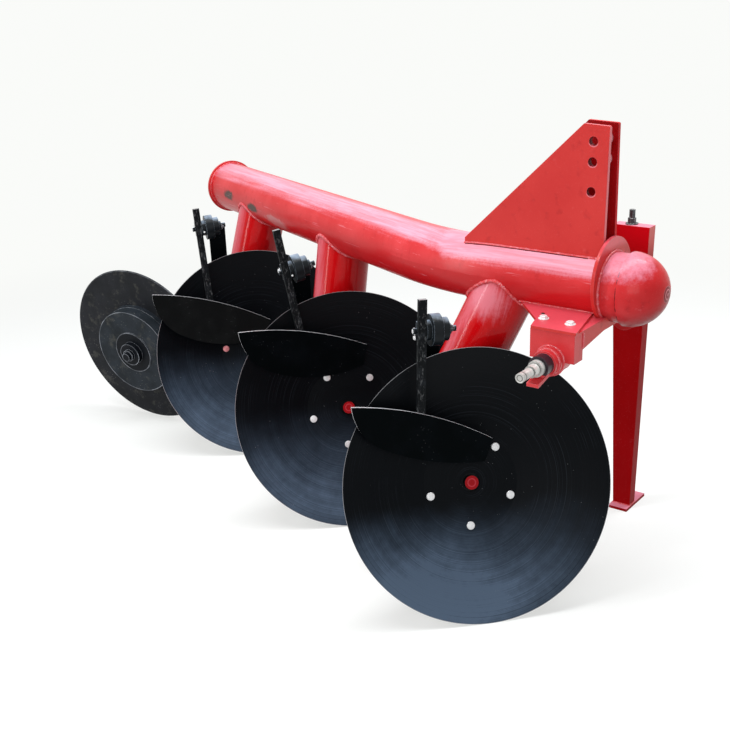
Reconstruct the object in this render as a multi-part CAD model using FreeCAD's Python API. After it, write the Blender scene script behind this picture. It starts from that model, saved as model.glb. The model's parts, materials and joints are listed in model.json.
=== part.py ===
import FreeCAD, Part
import math
import os

# Three-furrow mounted disc plough with a bent tubular frame. Millimetres, degrees.
# While it is built: X = 0 is the hitch's centre plane, Y = 0 is the first disc's centre,
# Z = 0 is the ground. +X is the plough's right, +Y is forward, +Z is up.

V = FreeCAD.Vector

# ---- driving dimensions -------------------------------------------------------------
# discs
DISC_COUNT = 3
DISC_RADIUS = 330.0
DISC_THICKNESS = 6.0
DISC_BEVEL = 12.0
DISC_SPHERE_RADIUS = 660.0
DISC_FLAT_RADIUS = 118.0
DISC_HOLE_RADIUS = 23.0
DISC_BOLT_CIRCLE_RADIUS = 106.0
DISC_BOLT_COUNT = 5
DISC_BOLT_PHASES = (48.8, 48.8, 24.8)
DISC_BOLT_HOLE_RADIUS = 7.0
DISC_SPACING = 600.0
DISC_ANGLE = 48.1
DISC_TILT = 18.6
LINE_ANGLE = 22.6
FIRST_DISC_OFFSET = 264.0

# hubs and bearing housings behind the discs
HUB_FLANGE_RADIUS = 128.0
HUB_FLANGE_THICKNESS = 16.0
HUB_NOSE_RADIUS = 17.5
HUB_NOSE_LENGTH = 10.0
SPINDLE_RADIUS = 25.0
SPINDLE_LENGTH = 120.0
HOUSING_RADIUS = 62.0
HOUSING_GAP = 6.0

# main beam
BEAM_RADIUS = 79.5
BEAM_WALL = 9.0
BEAM_HEIGHT = 768.0
BEAM_APEX_Y = -250.0
BEAM_FRONT_Y = 205.0
BEAM_REAR_LENGTH = 1340.0
BEAM_BEND_RADIUS = 800.0
END_PLATE_RADIUS = 88.0
END_PLATE_THICKNESS = 8.0
COLLAR_RADIUS = 101.0
COLLAR_RAISE = 16.0
COLLAR_THICKNESS = 8.0
COLLAR_Y = 188.0
SKIRT_LENGTH = 44.0
DOME_RADIUS = 87.0
DOME_HEIGHT = 90.0
DOME_WALL = 8.0
DOME_CURVE_STEPS = 8
SKIRT_SHRINK = 6.0

# standards, the tubular legs between the beam and the disc hubs
# stations run back along the beam from its bend; each side shift is from the hub's axis
STANDARD_RADIUS = 77.5
STANDARD_WALL = 9.0
STANDARD_STATIONS = (-184.3, 547.5, 1086.4)
STANDARD_SIDE_SHIFTS = (111.0, 24.0, 61.0)
STANDARD_OFFSET = 6.5
STANDARD_SETBACK = 190.0
STANDARD_BELOW_HUB = 85.0
STANDARD_CAP_THICKNESS = 10.0

# mast
MAST_GAP = 52.0
MAST_PLATE = 10.0
MAST_TOP = 1141.0
MAST_TOP_DROP = 3.0
MAST_TOP_LENGTH_RIGHT = 63.0
MAST_TOP_LENGTH_LEFT = 74.0
MAST_FRONT_Y = 184.0
MAST_FRONT_LEAN_RIGHT = 5.0
MAST_FRONT_LEAN_LEFT = -3.0
MAST_REAR_Y = -184.0
MAST_CORNER_RADIUS = 4.0
MAST_HOLE_RADIUS = 10.5
MAST_HOLE_SETBACK = 38.0
MAST_HOLE_HEIGHTS = (1103.0, 1057.0, 990.0)

# lower hitch
BRACKET_TOP = 716.0
BRACKET_THICKNESS = 7.0
BRACKET_OUTLINE = (
    (0.0, -30.0), (36.0, -30.0), (165.0, 86.0), (216.0, 101.0), (216.0, 213.5), (61.0, 177.0), (0.0, 177.0))
HITCH_BOX_OUTER_X = 212.0
HITCH_BOX_LENGTH = 40.0
HITCH_BOX_REAR_Y = 98.0
HITCH_BOX_FRONT_Y = 209.0
HITCH_BOX_BOTTOM = 641.0
CROSS_BAR_BOTTOM = 665.0
CROSS_BAR_WEB = 6.0
CROSS_BAR_MIDDLE = 66.0
CROSS_BAR_SOLID = 82.0
CROSS_BAR_REAR_Y = 132.0
CROSS_BAR_WALL = 8.0
PIN_Y = 150.0
PIN_HEIGHT = 641.0
PIN_TIP_X = 350.0
PIN_TIP_RADIUS = 11.0
PIN_TIP_LENGTH = 46.0
PIN_SHOULDER_RADIUS = 14.0
PIN_SHOULDER_LENGTH = 22.0
PIN_COLLAR_RADIUS = 19.0
PIN_COLLAR_LENGTH = 14.0
PIN_BOSS_RADIUS = 34.0
PIN_BOSS_LENGTH = 14.0
PIN_RING_RADIUS = 30.0
PIN_RING_LENGTH = 15.0
PIN_SLEEVE_RADIUS = 25.0
LUG_THICKNESS = 8.0
LUG_ROOT_DROP = 13.0
LUG_TIP_DROP = 37.0
LUG_TIP_X = 297.0
LUG_REAR_Y = 137.5
LUG_WIDTH = 30.0

# parking stand
STAND_FACE_X = -400.0
STAND_TOP_Y = 59.5
STAND_FOOT_Y = 72.5
STAND_TOP = 812.0
STAND_TOP_DEPTH = 103.0
STAND_FOOT_DEPTH = 51.0
STAND_TOP_WIDTH = 38.0
STAND_FOOT_WIDTH = 32.0
STAND_WALL = 6.0
STAND_PIVOT_HEIGHT = 690.0
STAND_PIVOT_RADIUS = 12.0
STAND_SIDE_GAP = 5.5
STAND_PIVOT_HEAD_RADIUS = 19.0
STAND_PIVOT_HEAD = 12.0
STAND_ARM_DEPTH = 60.0
STAND_ARM_HEIGHT = 46.0
STAND_EAR_THICKNESS = 12.0
FOOT_LENGTH = 124.0
FOOT_DEPTH = 56.0
FOOT_THICKNESS = 8.0
FOOT_OVERHANG = 26.0
STAND_BOLT_RADIUS = 8.0
STAND_BOLT_SHARE_X = 0.55
STAND_BOLT_SHARE_Y = 0.074
STAND_BOLT_HEIGHT = 39.0
STAND_NUT_RADIUS = 11.0
STAND_NUT_HEIGHT = 14.0
STAND_WASHER_RADIUS = 17.0
STAND_WASHER_THICKNESS = 3.0

# scrapers, measured in each disc's own frame: X across, Y up the disc, Z out of its dish
# one row a disc: blade tip X, Y, blade end X, Y, blade depth, stem top X, Y, clamp Y, arm top X,
# blade tip Z
SCRAPER_SETTINGS = (
    (-297.0, 220.0, 50.0, 109.0, 92.0, -116.0, 447.0, 373.0, -91.0, 26.0),
    (-304.0, 242.0, 60.0, 178.0, 113.0, -178.0, 504.0, 391.0, -113.0, 26.0),
    (-327.0, 213.0, 44.0, 106.0, 119.0, -167.0, 463.0, 400.0, -104.0, 32.0),
)
BLADE_END_STANDOFF = -36.0
BLADE_CROWN = 19.0
BLADE_END_HEIGHT = 60.0
BLADE_THICKNESS = 5.0
BLADE_BOW_RADIUS = 2000.0
# belly points: along from the tip and down, as shares of the blade's length and depth
BLADE_BELLY = ((0.11, 0.58), (0.3, 0.93), (0.55, 1.0))
BLADE_STOCK = 1.1
STEM_SHARE = 0.495
STEM_WIDTH = 20.0
STEM_THICKNESS = 12.0
STEM_LEAN = 0.316
STEM_FOOT = 34.0
CLAMP_SADDLE_THICKNESS = 10.0
CLAMP_SADDLE_HEIGHT = 44.0
CLAMP_COLLAR_RADIUS = 24.0
CLAMP_COLLAR = 12.0
CLAMP_RING_RADIUS = 38.0
CLAMP_RING = 24.0
CLAMP_HUB_RADIUS = 28.0
CLAMP_HUB = 18.0
CLAMP_NUT_RADIUS = 14.0
CLAMP_NUT = 8.0
CLAMP_BOLT_RADIUS = 7.0
CLAMP_BOLT_REACH = 14.0
CLAMP_SHANK_RADIUS = 5.0
SCRAPER_ARM_WIDTH = 52.0
SCRAPER_ARM_THICKNESS = 12.0
SCRAPER_ARM_FOOT = V(-92.0, 5.0, -238.0)
SCRAPER_ARM_RISE = 22.0
SCRAPER_ARM_BITE = 4.0

# rear furrow wheel
WHEEL_X = -119.0
WHEEL_Y = -1577.6
WHEEL_RADIUS = 279.4
WHEEL_THICKNESS = 8.0
WHEEL_BEVEL = 4.0
WHEEL_TOE = 7.4
WHEEL_LEAN = 9.6
DRUM_RADIUS = 149.0
DRUM_LENGTH = 49.6
DRUM_BACK_RADIUS = 154.0
DRUM_BACK_LENGTH = 12.0
DRUM_FLOOR = 5.0
WHEEL_BOSS_RADIUS = 73.0
WHEEL_BOSS_LENGTH = 3.4
WHEEL_CAP_RADIUS = 39.5
WHEEL_CAP_LENGTH = 18.0
WHEEL_NUT_RADIUS = 20.0
WHEEL_NUT_LENGTH = 9.0
WHEEL_TIP_RADIUS = 15.0
WHEEL_TIP_LENGTH = 12.0
AXLE_RADIUS = 20.0
AXLE_REACH = 92.0
WHEEL_SPINDLE_RADIUS = 19.0
WHEEL_SPINDLE_TOP = 452.0
WHEEL_KNUCKLE_RADIUS = 28.0
WHEEL_THRUST_RADIUS = 29.0
WHEEL_THRUST_GAP = 5.0
WHEEL_SOCKET_RADIUS = 32.0
WHEEL_SOCKET_BOTTOM = 345.0
WHEEL_SOCKET_TOP = 425.0
WHEEL_ARM_HEIGHT = 60.0
WHEEL_ARM_THICKNESS = 30.0

# fits, and how far a hole's cut runs past the faces
RUNNING_CLEARANCE = 0.08
SEAT_CLEARANCE = 0.05
CUT_OVERRUN = 1.0

# ---- directions that follow from the angles -----------------------------------------


def direction(azimuth, elevation):
    """Unit vector at an azimuth from +X and an elevation above level."""
    a = math.radians(azimuth)
    e = math.radians(elevation)
    return V(math.cos(a) * math.cos(e), math.sin(a) * math.cos(e), math.sin(e))


def frame_at(origin, normal):
    """Placement whose Z is normal, X is level and Y points up the face."""
    across = V(0, 0, 1).cross(normal).normalize()
    up = normal.cross(across).normalize()
    matrix = FreeCAD.Matrix(
        across.x, up.x, normal.x, origin.x,
        across.y, up.y, normal.y, origin.y,
        across.z, up.z, normal.z, origin.z,
        0, 0, 0, 1)
    return FreeCAD.Placement(matrix)


DISC_NORMAL = direction(DISC_ANGLE, DISC_TILT)
LINE = V(-math.sin(math.radians(LINE_ANGLE)), -math.cos(math.radians(LINE_ANGLE)), 0)
WHEEL_NORMAL = direction(WHEEL_TOE, -WHEEL_LEAN)
WHEEL_CENTRE = V(WHEEL_X, WHEEL_Y, WHEEL_RADIUS * math.cos(math.radians(WHEEL_LEAN)))
BEAM_APEX = V(0, BEAM_APEX_Y, BEAM_HEIGHT)


def cap_depth(radius):
    """Depth of the disc's sphere at a radius, below its deepest point."""
    return DISC_SPHERE_RADIUS - math.sqrt(DISC_SPHERE_RADIUS ** 2 - radius ** 2)


DISC_DEPTH = cap_depth(DISC_RADIUS) - cap_depth(DISC_FLAT_RADIUS)


def disc_centre(number):
    first = V(FIRST_DISC_OFFSET, 0, DISC_RADIUS * math.cos(math.radians(DISC_TILT)))
    return first + LINE * (DISC_SPACING * number)


def disc_frame(number):
    return frame_at(disc_centre(number), DISC_NORMAL)


# ---- small helpers ------------------------------------------------------------------


def rod(radius, start, end):
    """Solid cylinder between two points."""
    run = end - start
    return Part.makeCylinder(radius, run.Length, start, run)


def block(low, high):
    size = high - low
    return Part.makeBox(size.x, size.y, size.z, low)


def prism(points, thickness):
    """Flat outline swept along a vector."""
    wire = Part.makePolygon(list(points) + [points[0]])
    return Part.Face(wire).extrude(thickness)


def turned(profile):
    """Closed profile of (radius, height) pairs turned about Z."""
    points = [V(radius, 0, height) for radius, height in profile]
    wire = Part.makePolygon(points + [points[0]])
    return Part.Face(wire).revolve(V(0, 0, 0), V(0, 0, 1), 360)


def placed(shape, placement):
    copy = shape.copy()
    copy.Placement = placement.multiply(copy.Placement)
    return copy


def mirrored(shape):
    """The same piece on the other side of the hitch's centre plane."""
    return shape.mirror(V(0, 0, 0), V(1, 0, 0))


def loft_bar(start, end, across, width, thickness):
    """Straight flat bar from start to end, its width along across."""
    run = end - start
    side = across.normalize() * (width / 2)
    face = run.cross(side).normalize() * (thickness / 2)
    corners = [start + side + face, start - side + face, start - side - face, start + side - face]
    return prism(corners, run)


# ---- discs and hubs -----------------------------------------------------------------


def dished_disc(phase):
    """Spherical plough disc with a flat centre, its rim in the plane Z = 0."""
    centre_height = DISC_SPHERE_RADIUS - cap_depth(DISC_RADIUS)
    middle = (DISC_RADIUS + DISC_FLAT_RADIUS) / 2
    front = []
    for radius in (DISC_RADIUS, middle, DISC_FLAT_RADIUS):
        front.append(V(radius, 0, centre_height - math.sqrt(DISC_SPHERE_RADIUS ** 2 - radius ** 2)))
    back_radius = DISC_SPHERE_RADIUS + DISC_THICKNESS
    back = []
    for radius in (DISC_FLAT_RADIUS, middle, DISC_RADIUS - DISC_BEVEL):
        back.append(V(radius, 0, centre_height - math.sqrt(back_radius ** 2 - radius ** 2)))
    flat_front = front[-1].z
    flat_back = back[0].z
    edges = [
        Part.Arc(front[0], front[1], front[2]).toShape(),
        Part.makeLine(front[2], V(DISC_HOLE_RADIUS, 0, flat_front)),
        Part.makeLine(V(DISC_HOLE_RADIUS, 0, flat_front), V(DISC_HOLE_RADIUS, 0, flat_back)),
        Part.makeLine(V(DISC_HOLE_RADIUS, 0, flat_back), back[0]),
        Part.Arc(back[0], back[1], back[2]).toShape(),
        Part.makeLine(back[2], front[0]),
    ]
    disc = Part.Face(Part.Wire(edges)).revolve(V(0, 0, 0), V(0, 0, 1), 360)
    for place in bolt_places(phase):
        low = place + V(0, 0, flat_back - CUT_OVERRUN)
        high = place + V(0, 0, flat_front + CUT_OVERRUN)
        disc = disc.cut(rod(DISC_BOLT_HOLE_RADIUS, low, high))
    return disc


def bolt_places(phase):
    places = []
    for index in range(DISC_BOLT_COUNT):
        angle = math.radians(phase - index * 360.0 / DISC_BOLT_COUNT)
        places.append(V(math.cos(angle), math.sin(angle), 0) * DISC_BOLT_CIRCLE_RADIUS)
    return places


def flat_depths():
    """Heights of the flat centre's front and back faces, below the rim plane."""
    centre_height = DISC_SPHERE_RADIUS - cap_depth(DISC_RADIUS)
    front = centre_height - math.sqrt(DISC_SPHERE_RADIUS ** 2 - DISC_FLAT_RADIUS ** 2)
    back = centre_height - math.sqrt((DISC_SPHERE_RADIUS + DISC_THICKNESS) ** 2 - DISC_FLAT_RADIUS ** 2)
    return front, back


def hub(phase):
    """Flange that the disc is bolted to, with its nose and its spindle."""
    front, back = flat_depths()
    flange_back = back - HUB_FLANGE_THICKNESS
    body = turned([
        (0, front + HUB_NOSE_LENGTH), (HUB_NOSE_RADIUS, front + HUB_NOSE_LENGTH),
        (HUB_NOSE_RADIUS, back), (HUB_FLANGE_RADIUS, back), (HUB_FLANGE_RADIUS, flange_back),
        (SPINDLE_RADIUS, flange_back), (SPINDLE_RADIUS, flange_back - SPINDLE_LENGTH),
        (0, flange_back - SPINDLE_LENGTH)])
    for place in bolt_places(phase):
        start = place + V(0, 0, flange_back)
        body = body.cut(Part.makeCylinder(DISC_BOLT_HOLE_RADIUS, HUB_FLANGE_THICKNESS, start))
    return body


def housing_front():
    return flat_depths()[1] - HUB_FLANGE_THICKNESS - HOUSING_GAP


def bearing_housing():
    """Round housing on the standard, open in front for the spindle."""
    front = housing_front()
    rear = -STANDARD_SETBACK - DISC_DEPTH
    bore = SPINDLE_RADIUS + RUNNING_CLEARANCE
    floor = flat_depths()[1] - HUB_FLANGE_THICKNESS - SPINDLE_LENGTH - HOUSING_GAP
    return turned([
        (bore, front), (HOUSING_RADIUS, front), (HOUSING_RADIUS, rear), (0, rear),
        (0, floor), (bore, floor)])


# ---- frame --------------------------------------------------------------------------


def beam_solid(radius):
    """Solid of the bent beam: front run, bend and rear run."""
    tangent = BEAM_BEND_RADIUS * math.tan(math.radians(LINE_ANGLE) / 2)
    bend_start = BEAM_APEX + V(0, tangent, 0)
    bend_end = BEAM_APEX + LINE * tangent
    front = rod(radius, bend_start, V(0, BEAM_FRONT_Y, BEAM_HEIGHT))
    rear = rod(radius, bend_end, BEAM_APEX + LINE * BEAM_REAR_LENGTH)
    section = Part.Face(Part.Wire(Part.makeCircle(radius, bend_start, V(0, -1, 0))))
    pivot = bend_start + V(-BEAM_BEND_RADIUS, 0, 0)
    bend = section.revolve(pivot, V(0, 0, -1), LINE_ANGLE)
    return front.fuse([bend, rear]).removeSplitter()


def main_beam():
    return beam_solid(BEAM_RADIUS).cut(beam_solid(BEAM_RADIUS - BEAM_WALL))


def end_plate():
    start = BEAM_APEX + LINE * BEAM_REAR_LENGTH
    return rod(END_PLATE_RADIUS, start, start + LINE * END_PLATE_THICKNESS)


def collar():
    low = V(0, COLLAR_Y, BEAM_HEIGHT)
    high = V(0, COLLAR_Y + COLLAR_THICKNESS, BEAM_HEIGHT)
    raised = V(0, 0, COLLAR_RAISE)
    return rod(COLLAR_RADIUS, low + raised, high + raised).cut(rod(BEAM_RADIUS, low, high))


def dome_body(shrink):
    """Skirt and domed cap along +Y from the collar's front face, smaller by shrink."""
    base = V(0, COLLAR_Y + COLLAR_THICKNESS, BEAM_HEIGHT)
    start = base + V(0, SKIRT_LENGTH, 0)
    pole = start + V(0, DOME_HEIGHT - shrink, 0)
    skirt_side = V(DOME_RADIUS - SKIRT_SHRINK - shrink, 0, 0)
    dome_side = V(DOME_RADIUS - shrink, 0, 0)
    edges = [
        Part.makeLine(base, base + skirt_side),
        Part.makeLine(base + skirt_side, start + skirt_side),
        Part.makeLine(start + skirt_side, start + dome_side),
        dome_curve(start + dome_side, pole),
        Part.makeLine(pole, base),
    ]
    return Part.Face(Part.Wire(edges)).revolve(base, V(0, 1, 0), 360)


def dome_curve(rim, pole):
    """Quarter ellipse from the rim to the pole."""
    centre = V(pole.x, rim.y, pole.z)
    across = rim - centre
    along = pole - centre
    points = []
    for index in range(DOME_CURVE_STEPS + 1):
        angle = math.pi / 2 * index / DOME_CURVE_STEPS
        points.append(centre + across * math.cos(angle) + along * math.sin(angle))
    curve = Part.BSplineCurve()
    curve.interpolate(points)
    return curve.toShape()


def dome_cap():
    tube = rod(BEAM_RADIUS, V(0, COLLAR_Y, BEAM_HEIGHT), V(0, BEAM_FRONT_Y, BEAM_HEIGHT))
    return largest(dome_body(0).cut(dome_body(DOME_WALL)).cut(tube))


def front_end():
    """Filled outline of the beam's front: beam, collar, skirt and cap."""
    low = V(0, COLLAR_Y, BEAM_HEIGHT + COLLAR_RAISE)
    ring = rod(COLLAR_RADIUS, low, low + V(0, COLLAR_THICKNESS, 0))
    return beam_solid(BEAM_RADIUS).fuse([ring, dome_body(0)])


def standard_line(number):
    """Top and bottom of a standard's centre line."""
    station = STANDARD_STATIONS[number]
    run = V(0, -1, 0) if station < 0 else LINE
    across = V(0, 0, 1).cross(run)
    top = BEAM_APEX + run * station - across * STANDARD_OFFSET
    side = -STANDARD_SIDE_SHIFTS[number]
    hub_level = disc_frame(number).multVec(V(side, 0, -DISC_DEPTH - STANDARD_SETBACK))
    run = hub_level - top
    bottom = hub_level + run.normalize() * STANDARD_BELOW_HUB
    return top, bottom


def standard_core(number):
    """Filled outline of a standard."""
    top, bottom = standard_line(number)
    return rod(STANDARD_RADIUS, top, bottom)


def standard(number, beam):
    """Tubular leg, coped to the beam, closed below, holed for its bearing housing."""
    top, bottom = standard_line(number)
    outer = standard_core(number)
    run = (bottom - top).normalize()
    inner = rod(STANDARD_RADIUS - STANDARD_WALL, top, bottom - run * STANDARD_CAP_THICKNESS)
    housing = placed(Part.makeCylinder(
        HOUSING_RADIUS, STANDARD_SETBACK + DISC_DEPTH + housing_front(),
        V(0, 0, -STANDARD_SETBACK - DISC_DEPTH)), disc_frame(number))
    return largest(outer.cut(inner).cut(beam).cut(housing))


def largest(shape):
    """The biggest solid that a cut leaves."""
    return max(shape.Solids, key=lambda solid: solid.Volume)


def mast_outline(x, lean, top_length):
    low = BEAM_HEIGHT
    rear = V(x, MAST_REAR_Y, low)
    seat = V(x, MAST_REAR_Y, low + BEAM_RADIUS)
    front = V(x, MAST_FRONT_Y, low)
    top_front = V(x, MAST_FRONT_Y + lean, MAST_TOP - MAST_TOP_DROP)
    top_rear = V(x, MAST_FRONT_Y + lean - top_length, MAST_TOP)
    return [rear, front, top_front, top_rear, seat]


def mast_hole(x, height):
    """Centre of a top link hole, set back from the right plate's leaning front edge."""
    share = (height - BEAM_HEIGHT) / (MAST_TOP - MAST_TOP_DROP - BEAM_HEIGHT)
    return V(x, MAST_FRONT_Y + MAST_FRONT_LEAN_RIGHT * share - MAST_HOLE_SETBACK, height)


def mast_plate(lean, top_length, beam):
    """Mast plate on the right of the gap, with its top link holes, standing on the beam."""
    near = MAST_GAP / 2
    far = near + MAST_PLATE
    outline = mast_outline(near, lean, top_length)
    plate = prism(outline, V(MAST_PLATE, 0, 0))
    corner = [edge for edge in plate.Edges if is_crossing(edge, outline[2])]
    plate = plate.makeFillet(MAST_CORNER_RADIUS, corner)
    for height in MAST_HOLE_HEIGHTS:
        low = mast_hole(near - CUT_OVERRUN, height)
        high = mast_hole(far + CUT_OVERRUN, height)
        plate = plate.cut(rod(MAST_HOLE_RADIUS, low, high))
    return largest(plate.cut(beam))


def is_crossing(edge, corner):
    """Whether an edge crosses the plate's thickness at a corner of its outline."""
    middle = edge.CenterOfMass
    return (middle - V(middle.x, corner.y, corner.z)).Length < SEAT_CLEARANCE


# ---- lower hitch, built for the right side ------------------------------------------


def bracket_plate(front):
    """Level plate from the beam's side out to the hitch box."""
    outline = [V(x, y, BRACKET_TOP - BRACKET_THICKNESS) for x, y in BRACKET_OUTLINE]
    plate = prism(outline, V(0, 0, BRACKET_THICKNESS)).cut(front)
    return max(plate.Solids, key=lambda solid: solid.CenterOfMass.x)


def hitch_box():
    """Box under the bracket's outer end, with the pin's stepped boss and the chain lug."""
    outer_x = HITCH_BOX_OUTER_X
    inner_x = outer_x - HITCH_BOX_LENGTH
    top = BRACKET_TOP - BRACKET_THICKNESS
    body = block(V(inner_x, HITCH_BOX_REAR_Y, HITCH_BOX_BOTTOM), V(outer_x, HITCH_BOX_FRONT_Y, top))
    ring_x = outer_x + PIN_BOSS_LENGTH
    sleeve_x = ring_x + PIN_RING_LENGTH
    boss = rod(PIN_BOSS_RADIUS, pin_point(inner_x), pin_point(ring_x))
    ring = rod(PIN_RING_RADIUS, pin_point(ring_x), pin_point(sleeve_x))
    sleeve = rod(PIN_SLEEVE_RADIUS, pin_point(sleeve_x), pin_point(pin_collar_start()))
    hole_radius = PIN_COLLAR_RADIUS + SEAT_CLEARANCE
    hole = rod(hole_radius, pin_point(inner_x - CUT_OVERRUN), pin_point(PIN_TIP_X))
    return body.fuse([boss, ring, sleeve, hitch_lug()]).cut(hole).removeSplitter()


def pin_collar_start():
    return PIN_TIP_X - PIN_TIP_LENGTH - PIN_SHOULDER_LENGTH - PIN_COLLAR_LENGTH


def hitch_lug():
    """Sloping flat lug under the pin, for the check chain."""
    root = HITCH_BOX_OUTER_X
    root_z = PIN_HEIGHT - LUG_ROOT_DROP
    tip_z = PIN_HEIGHT - LUG_TIP_DROP
    y = LUG_REAR_Y
    outline = [
        V(root - LUG_THICKNESS, y, root_z), V(LUG_TIP_X, y, tip_z),
        V(LUG_TIP_X, y, tip_z + LUG_THICKNESS), V(root, y, root_z + LUG_THICKNESS)]
    return prism(outline, V(0, LUG_WIDTH, 0))


def hitch_pin():
    """Stepped lower link pin, seated through the hitch box."""
    inner_x = HITCH_BOX_OUTER_X - HITCH_BOX_LENGTH
    shoulder = pin_collar_start() + PIN_COLLAR_LENGTH
    tip = shoulder + PIN_SHOULDER_LENGTH
    shank = rod(PIN_COLLAR_RADIUS, pin_point(inner_x), pin_point(shoulder))
    step = rod(PIN_SHOULDER_RADIUS, pin_point(shoulder), pin_point(tip))
    end = rod(PIN_TIP_RADIUS, pin_point(tip), pin_point(PIN_TIP_X))
    return shank.fuse([step, end])


def pin_point(x):
    return V(x, PIN_Y, PIN_HEIGHT)


def cross_bar(front):
    """Bar under the beam that joins the two hitch boxes: hollow ends and a shallow solid middle."""
    half = HITCH_BOX_OUTER_X - HITCH_BOX_LENGTH
    top = BRACKET_TOP - BRACKET_THICKNESS
    shallow = BEAM_HEIGHT - DOME_RADIUS + SKIRT_SHRINK - CROSS_BAR_WEB
    outline = [
        (-half, CROSS_BAR_BOTTOM), (-CROSS_BAR_MIDDLE, shallow), (CROSS_BAR_MIDDLE, shallow),
        (half, CROSS_BAR_BOTTOM), (half, top), (-half, top)]
    depth = HITCH_BOX_FRONT_Y - CROSS_BAR_REAR_Y
    bar = prism([V(x, CROSS_BAR_REAR_Y, z) for x, z in outline], V(0, depth, 0)).cut(front)
    wall = CROSS_BAR_WALL
    cavity = [
        (CROSS_BAR_SOLID, shallow + wall), (half, CROSS_BAR_BOTTOM + wall), (half, top - wall),
        (CROSS_BAR_SOLID, top - wall)]
    hollow = prism([V(x, CROSS_BAR_REAR_Y + wall, z) for x, z in cavity], V(0, depth - 2 * wall, 0))
    return bar.cut([hollow, mirrored(hollow)])


# ---- parking stand ------------------------------------------------------------------


def stand_body(shrink):
    """Tapered leg, thinner each way by shrink."""
    top = stand_rectangle(STAND_TOP_Y, STAND_TOP_WIDTH, STAND_TOP_DEPTH, shrink, STAND_TOP)
    foot = stand_rectangle(STAND_FOOT_Y, STAND_FOOT_WIDTH, STAND_FOOT_DEPTH, shrink, FOOT_THICKNESS)
    return Part.makeLoft([foot, top], True, True)


def stand_rectangle(centre_y, width, depth, shrink, height):
    half = depth / 2 - shrink
    near = STAND_FACE_X - shrink
    far = STAND_FACE_X - width + shrink
    corners = [
        V(near, centre_y - half, height), V(near, centre_y + half, height),
        V(far, centre_y + half, height), V(far, centre_y - half, height)]
    return Part.makePolygon(corners + [corners[0]])


def stand_y(height):
    """Middle of the leaning stand at a height."""
    share = (height - FOOT_THICKNESS) / (STAND_TOP - FOOT_THICKNESS)
    return STAND_FOOT_Y + (STAND_TOP_Y - STAND_FOOT_Y) * share


def stand_leg():
    shell = stand_body(0).cut(stand_body(STAND_WALL))
    lid = block(
        V(STAND_FACE_X - STAND_TOP_WIDTH, STAND_TOP_Y - STAND_TOP_DEPTH / 2, STAND_TOP),
        V(STAND_FACE_X, STAND_TOP_Y + STAND_TOP_DEPTH / 2, STAND_TOP + STAND_WALL))
    hole = rod(
        STAND_PIVOT_RADIUS + RUNNING_CLEARANCE, stand_pivot(STAND_FACE_X + CUT_OVERRUN),
        stand_pivot(STAND_FACE_X - STAND_TOP_WIDTH - CUT_OVERRUN))
    return shell.fuse(lid).removeSplitter().cut(hole)


def stand_pivot(x):
    return V(x, stand_y(STAND_PIVOT_HEIGHT), STAND_PIVOT_HEIGHT)


def stand_foot():
    high_x = STAND_FACE_X + FOOT_OVERHANG
    half = FOOT_DEPTH / 2
    return block(
        V(high_x - FOOT_LENGTH, STAND_FOOT_Y - half, 0),
        V(high_x, STAND_FOOT_Y + half, FOOT_THICKNESS))


def stand_bracket(box):
    """Arm from the left hitch box, with an ear and the pivot bolt that the stand folds on."""
    ear_x = STAND_FACE_X + STAND_SIDE_GAP
    ear_inner_x = ear_x + STAND_EAR_THICKNESS
    half = STAND_ARM_DEPTH / 2
    y = stand_y(STAND_PIVOT_HEIGHT)
    low_z = STAND_PIVOT_HEIGHT - STAND_ARM_HEIGHT / 2
    ear = block(V(ear_x, y - half, low_z), V(ear_inner_x, y + half, low_z + STAND_ARM_HEIGHT))
    root_x = -HITCH_BOX_OUTER_X
    outline = [
        V(root_x, HITCH_BOX_REAR_Y, low_z), V(root_x, HITCH_BOX_REAR_Y + half, low_z),
        V(ear_inner_x, y + half, low_z), V(ear_inner_x, y, low_z)]
    arm = prism(outline, V(0, 0, BRACKET_TOP - BRACKET_THICKNESS - low_z))
    outer_x = STAND_FACE_X - STAND_TOP_WIDTH - STAND_SIDE_GAP
    bolt = rod(STAND_PIVOT_RADIUS, stand_pivot(ear_inner_x), stand_pivot(outer_x))
    head = rod(STAND_PIVOT_HEAD_RADIUS, stand_pivot(outer_x), stand_pivot(outer_x - STAND_PIVOT_HEAD))
    return largest(arm.fuse([ear, bolt, head]).removeSplitter().cut(box))


def stand_top_bolt():
    """Stud, nut and washer on the stand's lid."""
    base = V(
        STAND_FACE_X - STAND_TOP_WIDTH * STAND_BOLT_SHARE_X,
        STAND_TOP_Y - STAND_TOP_DEPTH * STAND_BOLT_SHARE_Y, STAND_TOP + STAND_WALL)
    up = V(0, 0, 1)
    washer = rod(STAND_WASHER_RADIUS, base, base + up * STAND_WASHER_THICKNESS)
    nut_base = base + up * STAND_WASHER_THICKNESS
    nut = prism(hexagon(nut_base, STAND_NUT_RADIUS), up * STAND_NUT_HEIGHT)
    stud = rod(STAND_BOLT_RADIUS, base, base + up * STAND_BOLT_HEIGHT)
    return stud.fuse([washer, nut])


def hexagon(centre, radius):
    corners = []
    for index in range(6):
        angle = math.radians(60 * index)
        corners.append(centre + V(math.cos(angle), math.sin(angle), 0) * radius)
    return corners


# ---- scrapers -----------------------------------------------------------------------


def axes_at(origin, across, up):
    """Placement with X along across and Y in the plane of across and up."""
    x = V(across).normalize()
    z = x.cross(up).normalize()
    y = z.cross(x)
    matrix = FreeCAD.Matrix(
        x.x, y.x, z.x, origin.x,
        x.y, y.y, z.y, origin.y,
        x.z, y.z, z.z, origin.z,
        0, 0, 0, 1)
    return FreeCAD.Placement(matrix)


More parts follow.
